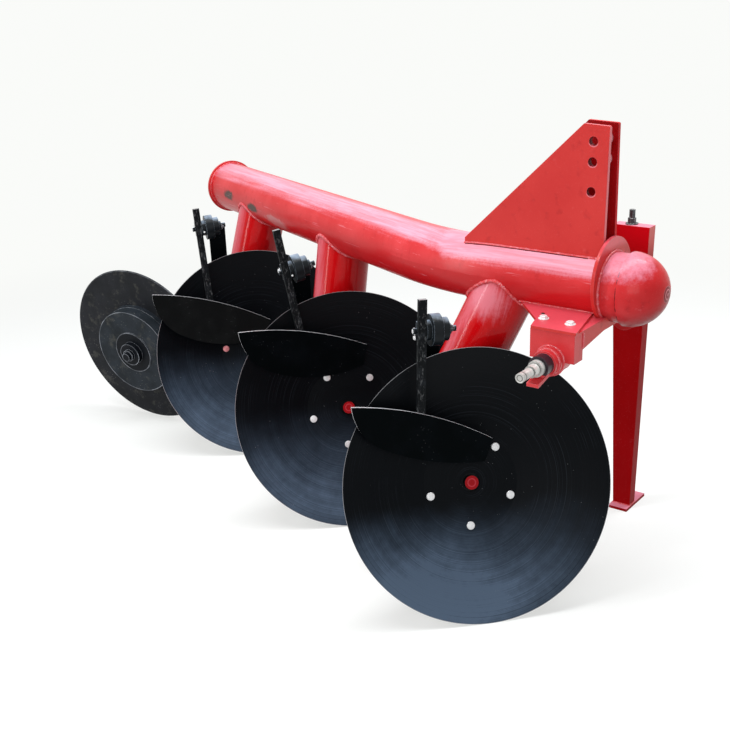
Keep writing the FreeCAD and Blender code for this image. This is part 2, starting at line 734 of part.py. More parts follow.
def scraper_points(number):
    """Blade tip, blade end, the stem's seat on the blade, the clamp's place and the stem's top."""
    tip_x, tip_y, end_x, end_y, _, top_x, top_y, clamp_y, _, tip_z = SCRAPER_SETTINGS[number]
    tip = V(tip_x, tip_y, tip_z)
    end = V(end_x, end_y, BLADE_END_STANDOFF)
    seat = tip + (end - tip) * STEM_SHARE
    top = V(top_x, top_y, seat.z + STEM_LEAN * (top_y - seat.y))
    clamp = seat + (top - seat) * ((clamp_y - seat.y) / (top_y - seat.y))
    return tip, end, seat, clamp, top


def blade_placement(number):
    """The blade's frame: origin at the stem's seat, X along the blade, Z out of its face."""
    tip, end, seat, _, top = scraper_points(number)
    return disc_frame(number).multiply(axes_at(seat, end - tip, top - seat))


def blade_line(start, end, offset):
    """One face of the bowed blade, seen from above."""
    points = [V(x, 0, x * x / (2 * BLADE_BOW_RADIUS) + offset) for x in (start, 0.0, end)]
    return Part.Arc(*points).toShape()


def blade_outline(lead, trail, depth):
    """Blade outline: crowned above, bellied below, square at the end by the hub."""
    corner = V(trail, -BLADE_END_HEIGHT, 0)
    near, belly, far = [V(-lead + a * (lead + trail), -b * depth, 0) for a, b in BLADE_BELLY]
    edges = [
        Part.Arc(V(-lead, 0, 0), V(0, BLADE_CROWN, 0), V(trail, 0, 0)).toShape(),
        Part.makeLine(V(trail, 0, 0), corner),
        Part.Arc(corner, far, belly).toShape(),
        Part.Arc(belly, near, V(-lead, 0, 0)).toShape(),
    ]
    return Part.Face(Part.Wire(edges))


def scraper_blade(number):
    """Bowed blade plate cut to its outline."""
    tip, end, seat, _, _ = scraper_points(number)
    lead = (seat - tip).Length
    trail = (end - seat).Length
    half = BLADE_THICKNESS / 2
    front = blade_line(-BLADE_STOCK * lead, BLADE_STOCK * trail, half)
    back = blade_line(-BLADE_STOCK * lead, BLADE_STOCK * trail, -half)
    ends = [Part.makeLine(front.Vertexes[k].Point, back.Vertexes[k].Point) for k in (0, 1)]
    section = Part.Face(Part.Wire([front, ends[1], back, ends[0]]))
    sheet = section.extrude(V(0, 2 * lead, 0))
    sheet.translate(V(0, -lead, 0))
    outline = blade_outline(lead, trail, SCRAPER_SETTINGS[number][4])
    outline.translate(V(0, 0, -lead))
    blade = outline.extrude(V(0, 0, 2 * lead)).common(sheet)
    return placed(largest(blade), blade_placement(number))


def stem_placement(number, point):
    """Frame on the stem's centre line: X across the stem, Y up it, Z out of its face."""
    tip, end, seat, _, top = scraper_points(number)
    along = top - seat
    normal = (end - tip).cross(along).normalize()
    centre = point - normal * ((BLADE_THICKNESS + STEM_THICKNESS) / 2)
    return disc_frame(number).multiply(axes_at(centre, along.cross(normal), along))


def scraper_stem(number):
    _, _, seat, _, top = scraper_points(number)
    low = V(-STEM_WIDTH / 2, -STEM_FOOT, -STEM_THICKNESS / 2)
    high = V(STEM_WIDTH / 2, (top - seat).Length, STEM_THICKNESS / 2)
    return placed(block(low, high), stem_placement(number, seat))


def clamp_axis_point(x):
    return V(x, 0, -(STEM_THICKNESS + CLAMP_SADDLE_THICKNESS) / 2)


def scraper_clamp(number):
    """Ringed clamp casting with its saddle behind the stem and its cross bolt."""
    side = STEM_WIDTH / 2
    back = -STEM_THICKNESS / 2
    saddle = block(
        V(-side, -CLAMP_SADDLE_HEIGHT / 2, back - CLAMP_SADDLE_THICKNESS),
        V(side, CLAMP_SADDLE_HEIGHT / 2, back))
    steps = (
        (CLAMP_COLLAR_RADIUS, CLAMP_COLLAR), (CLAMP_RING_RADIUS, CLAMP_RING),
        (CLAMP_HUB_RADIUS, CLAMP_HUB), (CLAMP_NUT_RADIUS, CLAMP_NUT), (CLAMP_BOLT_RADIUS, CLAMP_BOLT_REACH))
    pieces = []
    x = side + SEAT_CLEARANCE
    for radius, length in steps:
        pieces.append(rod(radius, clamp_axis_point(x), clamp_axis_point(x + length)))
        x += length
    head_end = clamp_axis_point(-side - CLAMP_NUT)
    shank = rod(CLAMP_SHANK_RADIUS, head_end, clamp_axis_point(side + CLAMP_COLLAR))
    head = rod(CLAMP_BOLT_RADIUS, head_end, clamp_axis_point(-side))
    clamp = saddle.fuse(pieces + [shank, head]).removeSplitter()
    _, _, _, place, _ = scraper_points(number)
    return placed(clamp, stem_placement(number, place))


def scraper_arm(number, clamp_solid):
    """Flat arm from the foot of the standard up and over the rim to the clamp."""
    _, _, _, place, _ = scraper_points(number)
    top_x = SCRAPER_SETTINGS[number][8]
    ring_back = place.z - (BLADE_THICKNESS + STEM_THICKNESS) / 2
    ring_back -= (STEM_THICKNESS + CLAMP_SADDLE_THICKNESS) / 2 + CLAMP_RING_RADIUS
    top_z = ring_back + SCRAPER_ARM_BITE - SCRAPER_ARM_THICKNESS / 2
    seat = V(top_x, place.y, top_z)
    run = seat - SCRAPER_ARM_FOOT
    top = seat + V(run).normalize() * SCRAPER_ARM_RISE
    arm = loft_bar(SCRAPER_ARM_FOOT, top, V(1, 0, 0), SCRAPER_ARM_WIDTH, SCRAPER_ARM_THICKNESS)
    arm = placed(arm, disc_frame(number))
    return largest(arm.cut(standard_core(number)).cut(clamp_solid))


# ---- rear furrow wheel --------------------------------------------------------------


def wheel_frame():
    return frame_at(WHEEL_CENTRE, WHEEL_NORMAL)


def wheel_disc():
    """Flat steel running disc."""
    half = WHEEL_THICKNESS / 2
    hole = AXLE_RADIUS + RUNNING_CLEARANCE
    flat = WHEEL_RADIUS - WHEEL_BEVEL
    profile = [(hole, -half), (flat, -half), (WHEEL_RADIUS, 0), (flat, half), (hole, half)]
    return placed(turned(profile), wheel_frame())


def drum_floor():
    """Height of the drum's closed inner face above the wheel's middle plane."""
    return WHEEL_THICKNESS / 2 + DRUM_LENGTH - DRUM_FLOOR


def wheel_drum():
    """Hub drum on the wheel's right face, with its stepped cap."""
    base = WHEEL_THICKNESS / 2
    drum_end = base + DRUM_LENGTH
    boss_end = drum_end + WHEEL_BOSS_LENGTH
    cap_end = boss_end + WHEEL_CAP_LENGTH
    nut_end = cap_end + WHEEL_NUT_LENGTH
    tip = nut_end + WHEEL_TIP_LENGTH
    hole = AXLE_RADIUS + RUNNING_CLEARANCE
    floor = drum_floor()
    return placed(turned([
        (hole, base), (DRUM_BACK_RADIUS, base), (DRUM_BACK_RADIUS, base + DRUM_BACK_LENGTH),
        (DRUM_RADIUS, base + DRUM_BACK_LENGTH), (DRUM_RADIUS, drum_end), (WHEEL_BOSS_RADIUS, drum_end),
        (WHEEL_BOSS_RADIUS, boss_end), (WHEEL_CAP_RADIUS, boss_end), (WHEEL_CAP_RADIUS, cap_end),
        (WHEEL_NUT_RADIUS, cap_end), (WHEEL_NUT_RADIUS, nut_end), (WHEEL_TIP_RADIUS, nut_end),
        (WHEEL_TIP_RADIUS, tip), (0, tip), (0, floor), (hole, floor)]),
        wheel_frame())


def spindle_foot():
    """Where the axle's centre line meets the upright spindle."""
    return wheel_frame().multVec(V(0, 0, -AXLE_REACH))


def wheel_spindle():
    """Upright spindle with the stub axle of the furrow wheel."""
    foot = spindle_foot()
    end = wheel_frame().multVec(V(0, 0, drum_floor() - HOUSING_GAP))
    axle = rod(AXLE_RADIUS, foot, end)
    top = V(foot.x, foot.y, WHEEL_SPINDLE_TOP)
    upright = rod(WHEEL_SPINDLE_RADIUS, V(foot.x, foot.y, foot.z - WHEEL_SPINDLE_RADIUS), top)
    knuckle = Part.makeSphere(WHEEL_KNUCKLE_RADIUS, foot)
    thrust_top = V(foot.x, foot.y, WHEEL_SOCKET_BOTTOM - WHEEL_THRUST_GAP)
    thrust = rod(WHEEL_THRUST_RADIUS, foot, thrust_top)
    cap = rod(WHEEL_THRUST_RADIUS, V(foot.x, foot.y, WHEEL_SOCKET_TOP + WHEEL_THRUST_GAP), top)
    return axle.fuse([upright, knuckle, thrust, cap]).removeSplitter()


def wheel_arm():
    """Bar from the last standard back to the socket of the wheel's spindle."""
    foot = spindle_foot()
    low = V(foot.x, foot.y, WHEEL_SOCKET_BOTTOM)
    high = V(foot.x, foot.y, WHEEL_SOCKET_TOP)
    middle = (low + high) * 0.5
    top, bottom = standard_line(DISC_COUNT - 1)
    share = (middle.z - top.z) / (bottom.z - top.z)
    root = top + (bottom - top) * share
    bar = loft_bar(root, middle, V(0, 0, 1), WHEEL_ARM_HEIGHT, WHEEL_ARM_THICKNESS)
    socket = rod(WHEEL_SOCKET_RADIUS, low, high)
    overrun = V(0, 0, CUT_OVERRUN)
    bore = rod(WHEEL_SPINDLE_RADIUS + RUNNING_CLEARANCE, low - overrun, high + overrun)
    return largest(bar.cut(standard_core(DISC_COUNT - 1)).fuse(socket).cut(bore).removeSplitter())


# ---- assembly -----------------------------------------------------------------------


def build():
    """All pieces by node name, in the building frame."""
    pieces = {}
    filled = beam_solid(BEAM_RADIUS)
    pieces["main_beam"] = main_beam()
    pieces["beam_end_plate"] = end_plate()
    pieces["front_collar"] = collar()
    pieces["dome_cap"] = dome_cap()
    pieces["mast_plate_right"] = mast_plate(MAST_FRONT_LEAN_RIGHT, MAST_TOP_LENGTH_RIGHT, filled)
    left_plate = mast_plate(MAST_FRONT_LEAN_LEFT, MAST_TOP_LENGTH_LEFT, mirrored(filled))
    pieces["mast_plate_left"] = mirrored(left_plate)
    front = front_end()
    bracket = bracket_plate(front)
    pieces["hitch_bracket_right"] = bracket
    pieces["hitch_bracket_left"] = mirrored(bracket)
    box = hitch_box()
    pieces["hitch_box_right"] = box
    pieces["hitch_box_left"] = mirrored(box)
    pin = hitch_pin()
    pieces["hitch_pin_right"] = pin
    pieces["hitch_pin_left"] = mirrored(pin)
    pieces["hitch_cross_bar"] = cross_bar(front)
    pieces["stand_bracket"] = stand_bracket(pieces["hitch_box_left"])
    pieces["stand_leg"] = stand_leg()
    pieces["stand_foot"] = stand_foot()
    pieces["stand_top_bolt"] = stand_top_bolt()
    for number in range(DISC_COUNT):
        name = str(number + 1)
        place = disc_frame(number)
        phase = DISC_BOLT_PHASES[number]
        pieces["disc_" + name] = placed(dished_disc(phase), place)
        pieces["hub_" + name] = placed(hub(phase), place)
        pieces["bearing_housing_" + name] = placed(bearing_housing(), place)
        pieces["standard_" + name] = standard(number, filled)
        clamp = scraper_clamp(number)
        pieces["scraper_clamp_" + name] = clamp
        pieces["scraper_stem_" + name] = scraper_stem(number)
        pieces["scraper_blade_" + name] = scraper_blade(number)
        pieces["scraper_arm_" + name] = scraper_arm(number, clamp)
    pieces["furrow_wheel_disc"] = wheel_disc()
    pieces["furrow_wheel_drum"] = wheel_drum()
    pieces["furrow_wheel_spindle"] = wheel_spindle()
    pieces["furrow_wheel_arm"] = wheel_arm()
    return pieces


def ground_shift(pieces):
    """Move that puts the origin under the middle of the whole plough's box."""
    box = FreeCAD.BoundBox()
    for shape in pieces.values():
        box.add(shape.optimalBoundingBox(False))
    return V(-box.Center.x, -box.Center.y, -box.ZMin)


def report_place(name, point, axis, shift):
    """Print a place and a direction of the finished plough, in metres."""
    place = (point + shift) * 0.001
    print("PLACE", name, round(place.x, 6), round(place.y, 6), round(place.z, 6),
          round(axis.x, 6), round(axis.y, 6), round(axis.z, 6))


def report_places(shift):
    for number in range(DISC_COUNT):
        report_place("disc_%d" % (number + 1), disc_centre(number), DISC_NORMAL, shift)
    report_place("furrow_wheel", WHEEL_CENTRE, WHEEL_NORMAL, shift)
    report_place("furrow_swivel", spindle_foot(), V(0, 0, 1), shift)
    report_place("stand_pivot", stand_pivot(STAND_FACE_X - STAND_TOP_WIDTH / 2), V(1, 0, 0), shift)
    foot = V(STAND_FACE_X + FOOT_OVERHANG - FOOT_LENGTH / 2, STAND_FOOT_Y, 0)
    report_place("stand_foot", foot, V(0, 0, -1), shift)
    tip = pin_point(PIN_TIP_X - PIN_TIP_LENGTH / 2)
    report_place("lower_pin_right", tip, V(1, 0, 0), shift)
    report_place("lower_pin_left", V(-tip.x, tip.y, tip.z), V(-1, 0, 0), shift)
    for index, height in enumerate(MAST_HOLE_HEIGHTS):
        report_place("top_link_%d" % (index + 1), mast_hole(0, height), V(1, 0, 0), shift)
    report_place("mast_front_top", V(0, MAST_FRONT_Y, MAST_TOP), V(0, 0, 1), shift)
    report_place("mast_rear_seat", V(0, MAST_REAR_Y, BEAM_HEIGHT + BEAM_RADIUS), V(0, 0, 1), shift)


def main():
    os.makedirs("parts", exist_ok=True)
    pieces = build()
    shift = ground_shift(pieces)
    for name, shape in pieces.items():
        shape.translate(shift)
        shape.exportStep("parts/" + name + ".step")
        state = "valid" if shape.isValid() else "INVALID"
        print(name, len(shape.Solids), "solids", round(shape.Volume / 1e3), "cm3", state)
    report_places(shift)


main()
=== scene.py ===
# %% [markdown]
# A tractor's disc plough: a bent red tube carries three dished discs, each on its own leg, with a
# furrow wheel behind and a folding stand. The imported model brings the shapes, joints and bodies.
# This script gives those shapes their finishes and adds the small things: welds, bolts and rings.

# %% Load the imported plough
import json
import math
import bpy
import bmesh
from mathutils import Matrix, Vector
from mathutils.bvhtree import BVHTree


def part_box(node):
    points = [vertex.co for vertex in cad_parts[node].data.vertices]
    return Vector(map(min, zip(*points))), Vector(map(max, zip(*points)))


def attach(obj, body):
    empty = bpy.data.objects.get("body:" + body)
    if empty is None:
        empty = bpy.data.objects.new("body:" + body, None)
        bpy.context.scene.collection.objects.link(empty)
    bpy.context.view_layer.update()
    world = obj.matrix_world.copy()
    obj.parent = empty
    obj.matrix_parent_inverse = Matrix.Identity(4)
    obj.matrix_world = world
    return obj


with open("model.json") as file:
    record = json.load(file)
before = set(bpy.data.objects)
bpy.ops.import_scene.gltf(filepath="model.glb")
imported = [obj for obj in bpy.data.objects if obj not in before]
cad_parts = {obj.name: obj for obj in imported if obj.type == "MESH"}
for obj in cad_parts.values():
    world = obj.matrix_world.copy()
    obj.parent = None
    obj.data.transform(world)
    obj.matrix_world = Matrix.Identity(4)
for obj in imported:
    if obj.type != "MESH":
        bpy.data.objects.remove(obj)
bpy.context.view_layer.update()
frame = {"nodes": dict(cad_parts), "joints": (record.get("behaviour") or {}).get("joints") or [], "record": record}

NODES = frame["nodes"]
JOINTS = {joint["name"]: joint for joint in frame["joints"]}
MOUNTS = {mount["name"]: Vector(mount["pos_m"]) for mount in frame["record"]["mounts"]}

# %% [markdown]
# The plough is measured from its own hitch: X = 0 is the middle of the mast, Y = 0 the first disc.
# The frame's origin is under the middle of the whole plough instead, so one vector joins the two.
# It is read from the first disc's joint, because a joint never moves with a change of trim.

# %% Places on the plough
RIGHT, AHEAD, UP = Vector((1, 0, 0)), Vector((0, 1, 0)), Vector((0, 0, 1))
HUB_REACH = 0.264            # the first disc's hub is this far right of the mast's middle
first_disc = Vector(JOINTS["disc_1_spin"]["pos_m"])
HITCH = Vector((first_disc.x - HUB_REACH, first_disc.y, 0))
# the beam's middle is this high; it bends here, and runs on 22.6 degrees off straight back
BEAM_HIGH, BEND = 768, -250
REARWARD = Vector((-math.sin(math.radians(22.6)), -math.cos(math.radians(22.6)), 0))


def at(x, y, z):
    """A place given in millimetres from the hitch's centre plane and the first disc."""
    return HITCH + Vector((x, y, z)) / 1000


print("hitch origin", HITCH[:])

# %% [markdown]
# Every finish here is worked out by a node tree. Building such trees by hand is slow to read, so a
# small wrapper lets a formula be written as a formula: adding two wires makes an Add node.

# %% A wire that does sums
def doing(operation, swapped=False):
    """A method that adds one Math node."""
    def method(self, other=0.0):
        first, second = (other, self) if swapped else (self, other)
        return self.nodes.add("ShaderNodeMath", {"operation": operation}, {0: first, 1: second})
    return method


class Wire:
    """An output socket with arithmetic."""

    def __init__(self, nodes, socket):
        self.nodes = nodes
        self.socket = socket

    __add__ = __radd__ = doing("ADD")
    __mul__ = __rmul__ = doing("MULTIPLY")
    __sub__, __rsub__ = doing("SUBTRACT"), doing("SUBTRACT", swapped=True)
    __truediv__, __rtruediv__ = doing("DIVIDE"), doing("DIVIDE", swapped=True)
    sine, root, size, most = (doing(name) for name in ("SINE", "SQRT", "ABSOLUTE", "MAXIMUM"))

    def band(self, low, high):
        """0 below low, 1 above high, smooth between."""
        settings = {"interpolation_type": "SMOOTHSTEP"}
        values = {"Value": self, "From Min": low, "From Max": high}
        return self.nodes.add("ShaderNodeMapRange", settings, values)

    def near(self, value, inner=0.0008, outer=0.0022):
        """1 at a value, fading to 0 between the inner and outer distance from it."""
        return 1 - (self - value).size().band(inner, outer)


print("wire operators ready")

# %% [markdown]
# A material, a sky and a Geometry Nodes tree are all node trees, so one method adds a node to any
# of them: its kind, its settings, then each socket's value or wire. It hands back one output.

# %% A tree of nodes
class Nodes:
    """A node tree, built one node at a time."""

    def __init__(self, tree):
        self.tree = tree
        tree.nodes.clear()

    def add(self, kind, settings=None, values=None, output=0):
        node = self.tree.nodes.new(kind)
        for key, value in (settings or {}).items():
            setattr(node, key, value)
        for key, value in (values or {}).items():
            if isinstance(value, Wire):
                self.tree.links.new(value.socket, node.inputs[key])
            else:
                node.inputs[key].default_value = value
        return Wire(self, node.outputs[output]) if node.outputs else None

    def vector(self, operation, first, second=(0, 0, 0), output=0):
        settings = {"operation": operation}
        return self.add("ShaderNodeVectorMath", settings, {0: first, 1: second}, output)

    def tint(self, mask, plain, other):
        """One colour where the mask is 0, the other where it is 1."""
        settings = {"data_type": "RGBA", "clamp_factor": True}
        plain, other = (c if isinstance(c, Wire) else (*c, 1.0) for c in (plain, other))
        return self.add("ShaderNodeMix", settings, {0: mask, 6: plain, 7: other}, 2)

    def coats(self, colour, *layers):
        """(mask, colour) layers laid one over another."""
        for mask, other in layers:
            colour = self.tint(mask, colour, other)
        return colour


print("node trees ready")

# %% [markdown]
# The patterns in the paint follow where a point lies on the plough. Object coordinates turn with
# a part, so its paint stays put. A few patterns are enough for every metal here: clouds, turned
# rings, specks, sharp edges for painted edge highlights, and distances from a place, along a line
# or out from an axis.

# %% Patterns
class Patterns(Nodes):
    """Masks and distances on a surface."""

    def __init__(self, tree):
        super().__init__(tree)
        self.here = self.add("ShaderNodeTexCoord", output="Object")

    def noise(self, scale, detail=3.0, stretch=(1, 1, 1), roughness=0.55, run=None):
        """Cloudy noise. A run is a direction along which its grain is drawn out."""
        place = self.vector("MULTIPLY", self.here, stretch)
        if run is not None:
            run = Vector(run).normalized()
            lost = self.vector("MULTIPLY", self.along((0, 0, 0), run), tuple(run * -0.95))
            place = self.vector("ADD", place, lost)
        values = {"Vector": place, "Scale": scale, "Detail": detail, "Roughness": roughness}
        return self.add("ShaderNodeTexNoise", {}, values)

    def rings(self, distance, scale, detail):
        values = {"W": distance, "Scale": scale, "Detail": detail}
        return self.add("ShaderNodeTexNoise", {"noise_dimensions": "1D"}, values)

    def specks(self, scale, size):
        """Small round spots, 1 inside a spot."""
        values = {"Vector": self.here, "Scale": scale}
        cells = self.add("ShaderNodeTexVoronoi", {}, values, "Distance")
        return 1 - cells.band(size * 0.6, size)

    def away(self, centre, stretch=(1, 1, 1)):
        """Distance from a place, counted less along stretched axes."""
        offset = self.vector("SUBTRACT", self.here, tuple(centre))
        scaled = self.vector("MULTIPLY", offset, stretch)
        return self.vector("LENGTH", scaled, output="Value")

    def along(self, centre, axis):
        """How far past a place a point lies in one direction."""
        offset = self.vector("SUBTRACT", self.here, tuple(centre))
        return self.vector("DOT_PRODUCT", offset, tuple(axis), "Value")

    def from_axis(self, centre, axis):
        """Distance from a line."""
        reach = self.away(centre)
        height = self.along(centre, axis)
        return (reach * reach - height * height).most(0.0).root()

    def facing(self, axis):
        """How squarely the surface faces along an axis."""
        normal = self.add("ShaderNodeTexCoord", output="Normal")
        return self.vector("DOT_PRODUCT", normal, tuple(axis), "Value")

    def rounded_edge(self, width):
        """A rounded normal, and 1 along sharp edges, where it leaves the flat one."""
        rounded = self.add("ShaderNodeBevel", {"samples": 4}, {"Radius": width})
        flat = self.add("ShaderNodeNewGeometry", output="True Normal")
        agreement = self.vector("DOT_PRODUCT", rounded, flat, "Value")
        return rounded, 1 - agreement.band(0.86, 0.985)


print("patterns ready")

# %% [markdown]
# A finish is one material. Its colour, roughness and bump are joined to the Principled shader in
# one place, because every metal here needs all three. A CAD piece is dressed by changing only
# what is in its material slot, so its shape is left alone.

# %% A finish
FINISHES = {}


class Finish(Patterns):
    """One material, kept in FINISHES under its name."""

    def __init__(self, name):
        self.name = name
        self.material = bpy.data.materials.new(name)
        self.material.use_nodes = True
        super().__init__(self.material.node_tree)

    def close(self, colour, rough, height, depth, strength, rounded=None, shine=0.5, **sockets):
        """Join it all to the shader. Underscores stand for the spaces in socket names."""
        bump = {"Strength": strength, "Distance": depth, "Height": height}
        if rounded is not None:
            bump["Normal"] = rounded
        values = {key.replace("_", " "): value for key, value in sockets.items()}
        values.update({
            "Base Color": colour, "Roughness": rough, "Specular IOR Level": shine,
            "Normal": self.add("ShaderNodeBump", {}, bump)})
        return self.surface(self.add("ShaderNodeBsdfPrincipled", {}, values))

    def surface(self, shader):
        self.add("ShaderNodeOutputMaterial", {}, {"Surface": shader})
        FINISHES[self.name] = self.material
        return self.material


def dress(material, *nodes):
    """Give a material to CAD pieces."""
    for node in nodes:
        slots = NODES[node].data.materials
        slots.clear()
        slots.append(material)


print("finishes ready")

# %% [markdown]
# The frame's red is a thick gloss enamel over welded tube. It isn't even: it holds faint cloudy
# patches, long rub marks along the tubes and fine specks where the spray was dry. Cloudy noise,
# noise drawn out along the tube and cell noise give those three, and they move colour,
# roughness and a very shallow bump together so that a rub mark also looks duller.

# %% Red enamel
RED = (0.56, 0.011, 0.014)
RED_PALE = (0.66, 0.040, 0.046)
RED_DEEP = (0.34, 0.002, 0.005)
RUB = (0.74, 0.26, 0.30)
# a paler red painted on sharp edges: a painted edge highlight
EDGE_HIGHLIGHT = (0.70, 0.14, 0.17)
EDGE_WIDTH = 0.0016


class Enamel(Finish):
    """A red finish. It starts with a colour, roughness and height, before marks of its own."""

    def __init__(self, name, plain=RED, pale=RED_PALE, run=None, rub_amount=1.0):
        super().__init__(name)
        cloud = self.noise(5.0, 4.0)
        mottle = self.noise(38.0, 4.0)
        streak = self.noise(26.0, 4.0, roughness=0.7, run=run)
        rub = streak.band(0.60, 0.78) * mottle.band(0.38, 0.66) * rub_amount
        self.colour = self.coats(
            plain, (cloud.band(0.35, 0.7), pale), (mottle.band(0.55, 0.8) * 0.5, RED_DEEP),
            (rub * 0.35, RUB), (self.specks(210.0, 0.14) * 0.22, RUB))
        self.rough = 0.24 + cloud * 0.10 + rub * 0.22 + mottle * 0.08
        self.height = self.noise(240.0, 2.0) * 0.35 + mottle * 0.5 + streak * 0.4

    def marks(self, *layers):
        self.colour = self.coats(self.colour, *layers)

    def glossy(self, duller=0.0, coat=0.35, coat_rough=0.14, rounded=None):
        """Under a clear coat."""
        return self.close(
            self.colour, self.rough + duller, self.height, 0.0012, 0.35, rounded, shine=0.14,
            Coat_Weight=coat, Coat_Roughness=coat_rough, Coat_IOR=1.5)

    def dull(self, duller, shine, rounded=None, depth=0.0008):
        """With no clear coat."""
        rough = self.rough + duller
        return self.close(self.colour, rough, self.height, depth, 0.3, rounded, shine)


print("red enamel ready")

# %% [markdown]
# The beam lies open to the light, so its upper side carries a painted highlight: a pale band,
# drawn out in streaks that follow the tube through its bend. Its underside gets painted shade, a
# deeper red. It keeps marks of its own near its rear end: two grey-brown patches where the paint
# has worn through, and a paler bruised band between them. Each is a stretched ball of space, its
# edge broken by noise, so the patch lies wherever the tube meets it.

# %% Beam finish
WORN = (0.075, 0.040, 0.032)
BRUISE = (0.50, 0.17, 0.17)
# colours of the painted highlight, the painted shade and the scratches
BEAM_HIGHLIGHT, BEAM_SHADE, SCRATCH = (0.84, 0.40, 0.52), (0.50, 0.003, 0.006), (0.86, 0.46, 0.54)
WORN_PLACES = ((-386, -1382, 767), (-318, -1214, 753))


def patch(finish, centre, reach, stretch):
    """Mask of a worn patch about a place."""
    ragged = finish.noise(70.0, 4.0) * reach * 0.9
    return 1 - (finish.away(centre, stretch) + ragged).band(reach, reach * 1.45)


def beam_red():
    finish = Enamel("beam_red", run=REARWARD, rub_amount=0.5)
    ahead = finish.along(at(0, BEND, 0), AHEAD).band(-0.02, 0.02)

    def drawn_out(scale, detail):
        """Noise that follows the tube on both sides of its bend."""
        behind = finish.noise(scale, detail, roughness=0.7, run=REARWARD)
        before = finish.noise(scale, detail, roughness=0.7, run=AHEAD)
        return behind + (before - behind) * ahead

    drawn = drawn_out(42.0, 5.0)
    grain = finish.noise(150.0, 4.0, roughness=0.8)
    # the painted highlight lies where the tube faces up and a little to the right
    lit = finish.facing((0.40, -0.10, 0.91))
    ragged = (drawn - 0.5) * 0.42 + (grain - 0.5) * 0.14
    painted_highlight = (lit + ahead * 0.13 + ragged).band(0.80, 1.02)
    lines = drawn_out(90.0, 3.0).band(0.40, 0.62)
    # painted shade, a deeper red, where the tube faces away from that direction
    under = 1 - (lit + (drawn - 0.5) * 0.5).band(0.20, 0.75)
    worn = [patch(finish, at(*place), 0.024, (0.8, 0.50, 1.25)) for place in WORN_PLACES]
    bruised = patch(finish, at(-262, -1070, 732), 0.050, (1.2, 0.42, 2.0))
    scratch = drawn_out(120.0, 3.0).band(0.63, 0.70)
    finish.marks(
        (painted_highlight * (0.58 + lines * 0.28), BEAM_HIGHLIGHT), (under * 0.75, BEAM_SHADE),
        *((mask, WORN) for mask in worn), (bruised * 0.75, BRUISE), (scratch * 0.22, SCRATCH))
    finish.height += drawn * 1.4 + grain * 0.3
    return finish.glossy(sum(worn) * 0.3 + drawn * 0.15, 0.32, 0.26)


dress(beam_red(), "main_beam")
print("beam runs", [round(v, 3) for v in REARWARD], "behind its bend")

# %% [markdown]
# The plates are cut from thick sheet. Their edges and upward faces carry a paler painted highlight,
# and so do the mast's front faces. The link holes in the mast get painted shade on their walls and
# a painted highlight along their lower rim. A hole's marks follow the distance from its mount's own
# axis, so they stay on it if the hole moves.

# %% Plate finish
LINK_HOLES = [MOUNTS["top_link_" + name] for name in ("upper", "middle", "lower")]
HOLE_RADIUS = 0.0105
# painted shade for the hole walls, and a painted highlight for their lower rims
HOLE_WALL_SHADE, HOLE_LIP_HIGHLIGHT = (0.08, 0.002, 0.003), (0.86, 0.34, 0.40)
# painted highlights: the mast's front faces, upward faces and edges
FRONT_EDGE_HIGHLIGHT, TOP_FACE_LIGHT, PLATE_EDGE_HIGHLIGHT = (0.86, 0.22, 0.26), (0.72, 0.085, 0.12), (0.76, 0.22, 0.26)


def hole_dark(finish, hole, wider=0.0):
    """Paint shade on the wall of a link hole."""
    wall = HOLE_RADIUS + wider
    inside = 1 - finish.from_axis(hole, RIGHT).band(wall + 0.0001, wall + 0.0006)
    finish.marks((inside, HOLE_WALL_SHADE))


def plate_red():
    finish = Enamel("plate_red", (0.55, 0.020, 0.018), (0.60, 0.030, 0.026), rub_amount=0.5)
    mast = finish.along(at(0, 0, 850), UP).band(0.0, 0.02)
    # painted highlight on the mast's front faces
    front_highlight = finish.facing(AHEAD).band(0.7, 0.95) * mast
    finish.marks((front_highlight * 0.6, FRONT_EDGE_HIGHLIGHT))
    for hole in LINK_HOLES:
        # painted highlight along the lower rim of each hole, and painted shade on its wall
        lip_highlight = finish.from_axis(hole, RIGHT).near(HOLE_RADIUS + 0.0012, 0.0008, 0.0018)
        low = finish.along(hole, -UP).band(0.001, 0.009)
        finish.marks((lip_highlight * low * 0.45, HOLE_LIP_HIGHLIGHT))
        hole_dark(finish, hole)
    # painted light on upward faces, and a painted highlight on edges
    lit_top = finish.facing(UP).band(0.7, 0.95)
    rounded, edge = finish.rounded_edge(EDGE_WIDTH)
    finish.marks((lit_top * 0.8, TOP_FACE_LIGHT), (edge * 0.35, PLATE_EDGE_HIGHLIGHT))
    return finish.glossy(0.10, 0.3, rounded=rounded)


dress(
    plate_red(), "mast_plate_right", "beam_end_plate", "hitch_bracket_right",
    "hitch_bracket_left", "hitch_cross_bar", "stand_bracket", "furrow_wheel_arm", "front_collar")
print("link holes at", [[round(v, 3) for v in hole] for hole in LINK_HOLES])

# %% [markdown]
# The legs are bent tube in a deeper, wetter red. A painted highlight runs along their length on
# the right, painted shade darkens them towards the front left, and the first has a pale painted
# highlight below its weld. The stand and the left mast plate are darker copies of the red, painted
# shade, dull and deep, with painted light only on edges and where they lie open.

# %% Leg, stand and left plate finishes
# painted highlight, painted highlight near the first leg's top, painted shade
LEG_HIGHLIGHT, LEG_TOP_HIGHLIGHT, LEG_SHADE = (0.84, 0.30, 0.38), (0.84, 0.34, 0.42), (0.26, 0.002, 0.004)
# painted light on the stand: its upper part, its top and its side facing ahead
STAND_TOP_LIGHT, STAND_LID_LIGHT, STAND_SIDE_LIGHT = (0.58, 0.0015, 0.007), (0.78, 0.26, 0.34), (0.76, 0.20, 0.18)


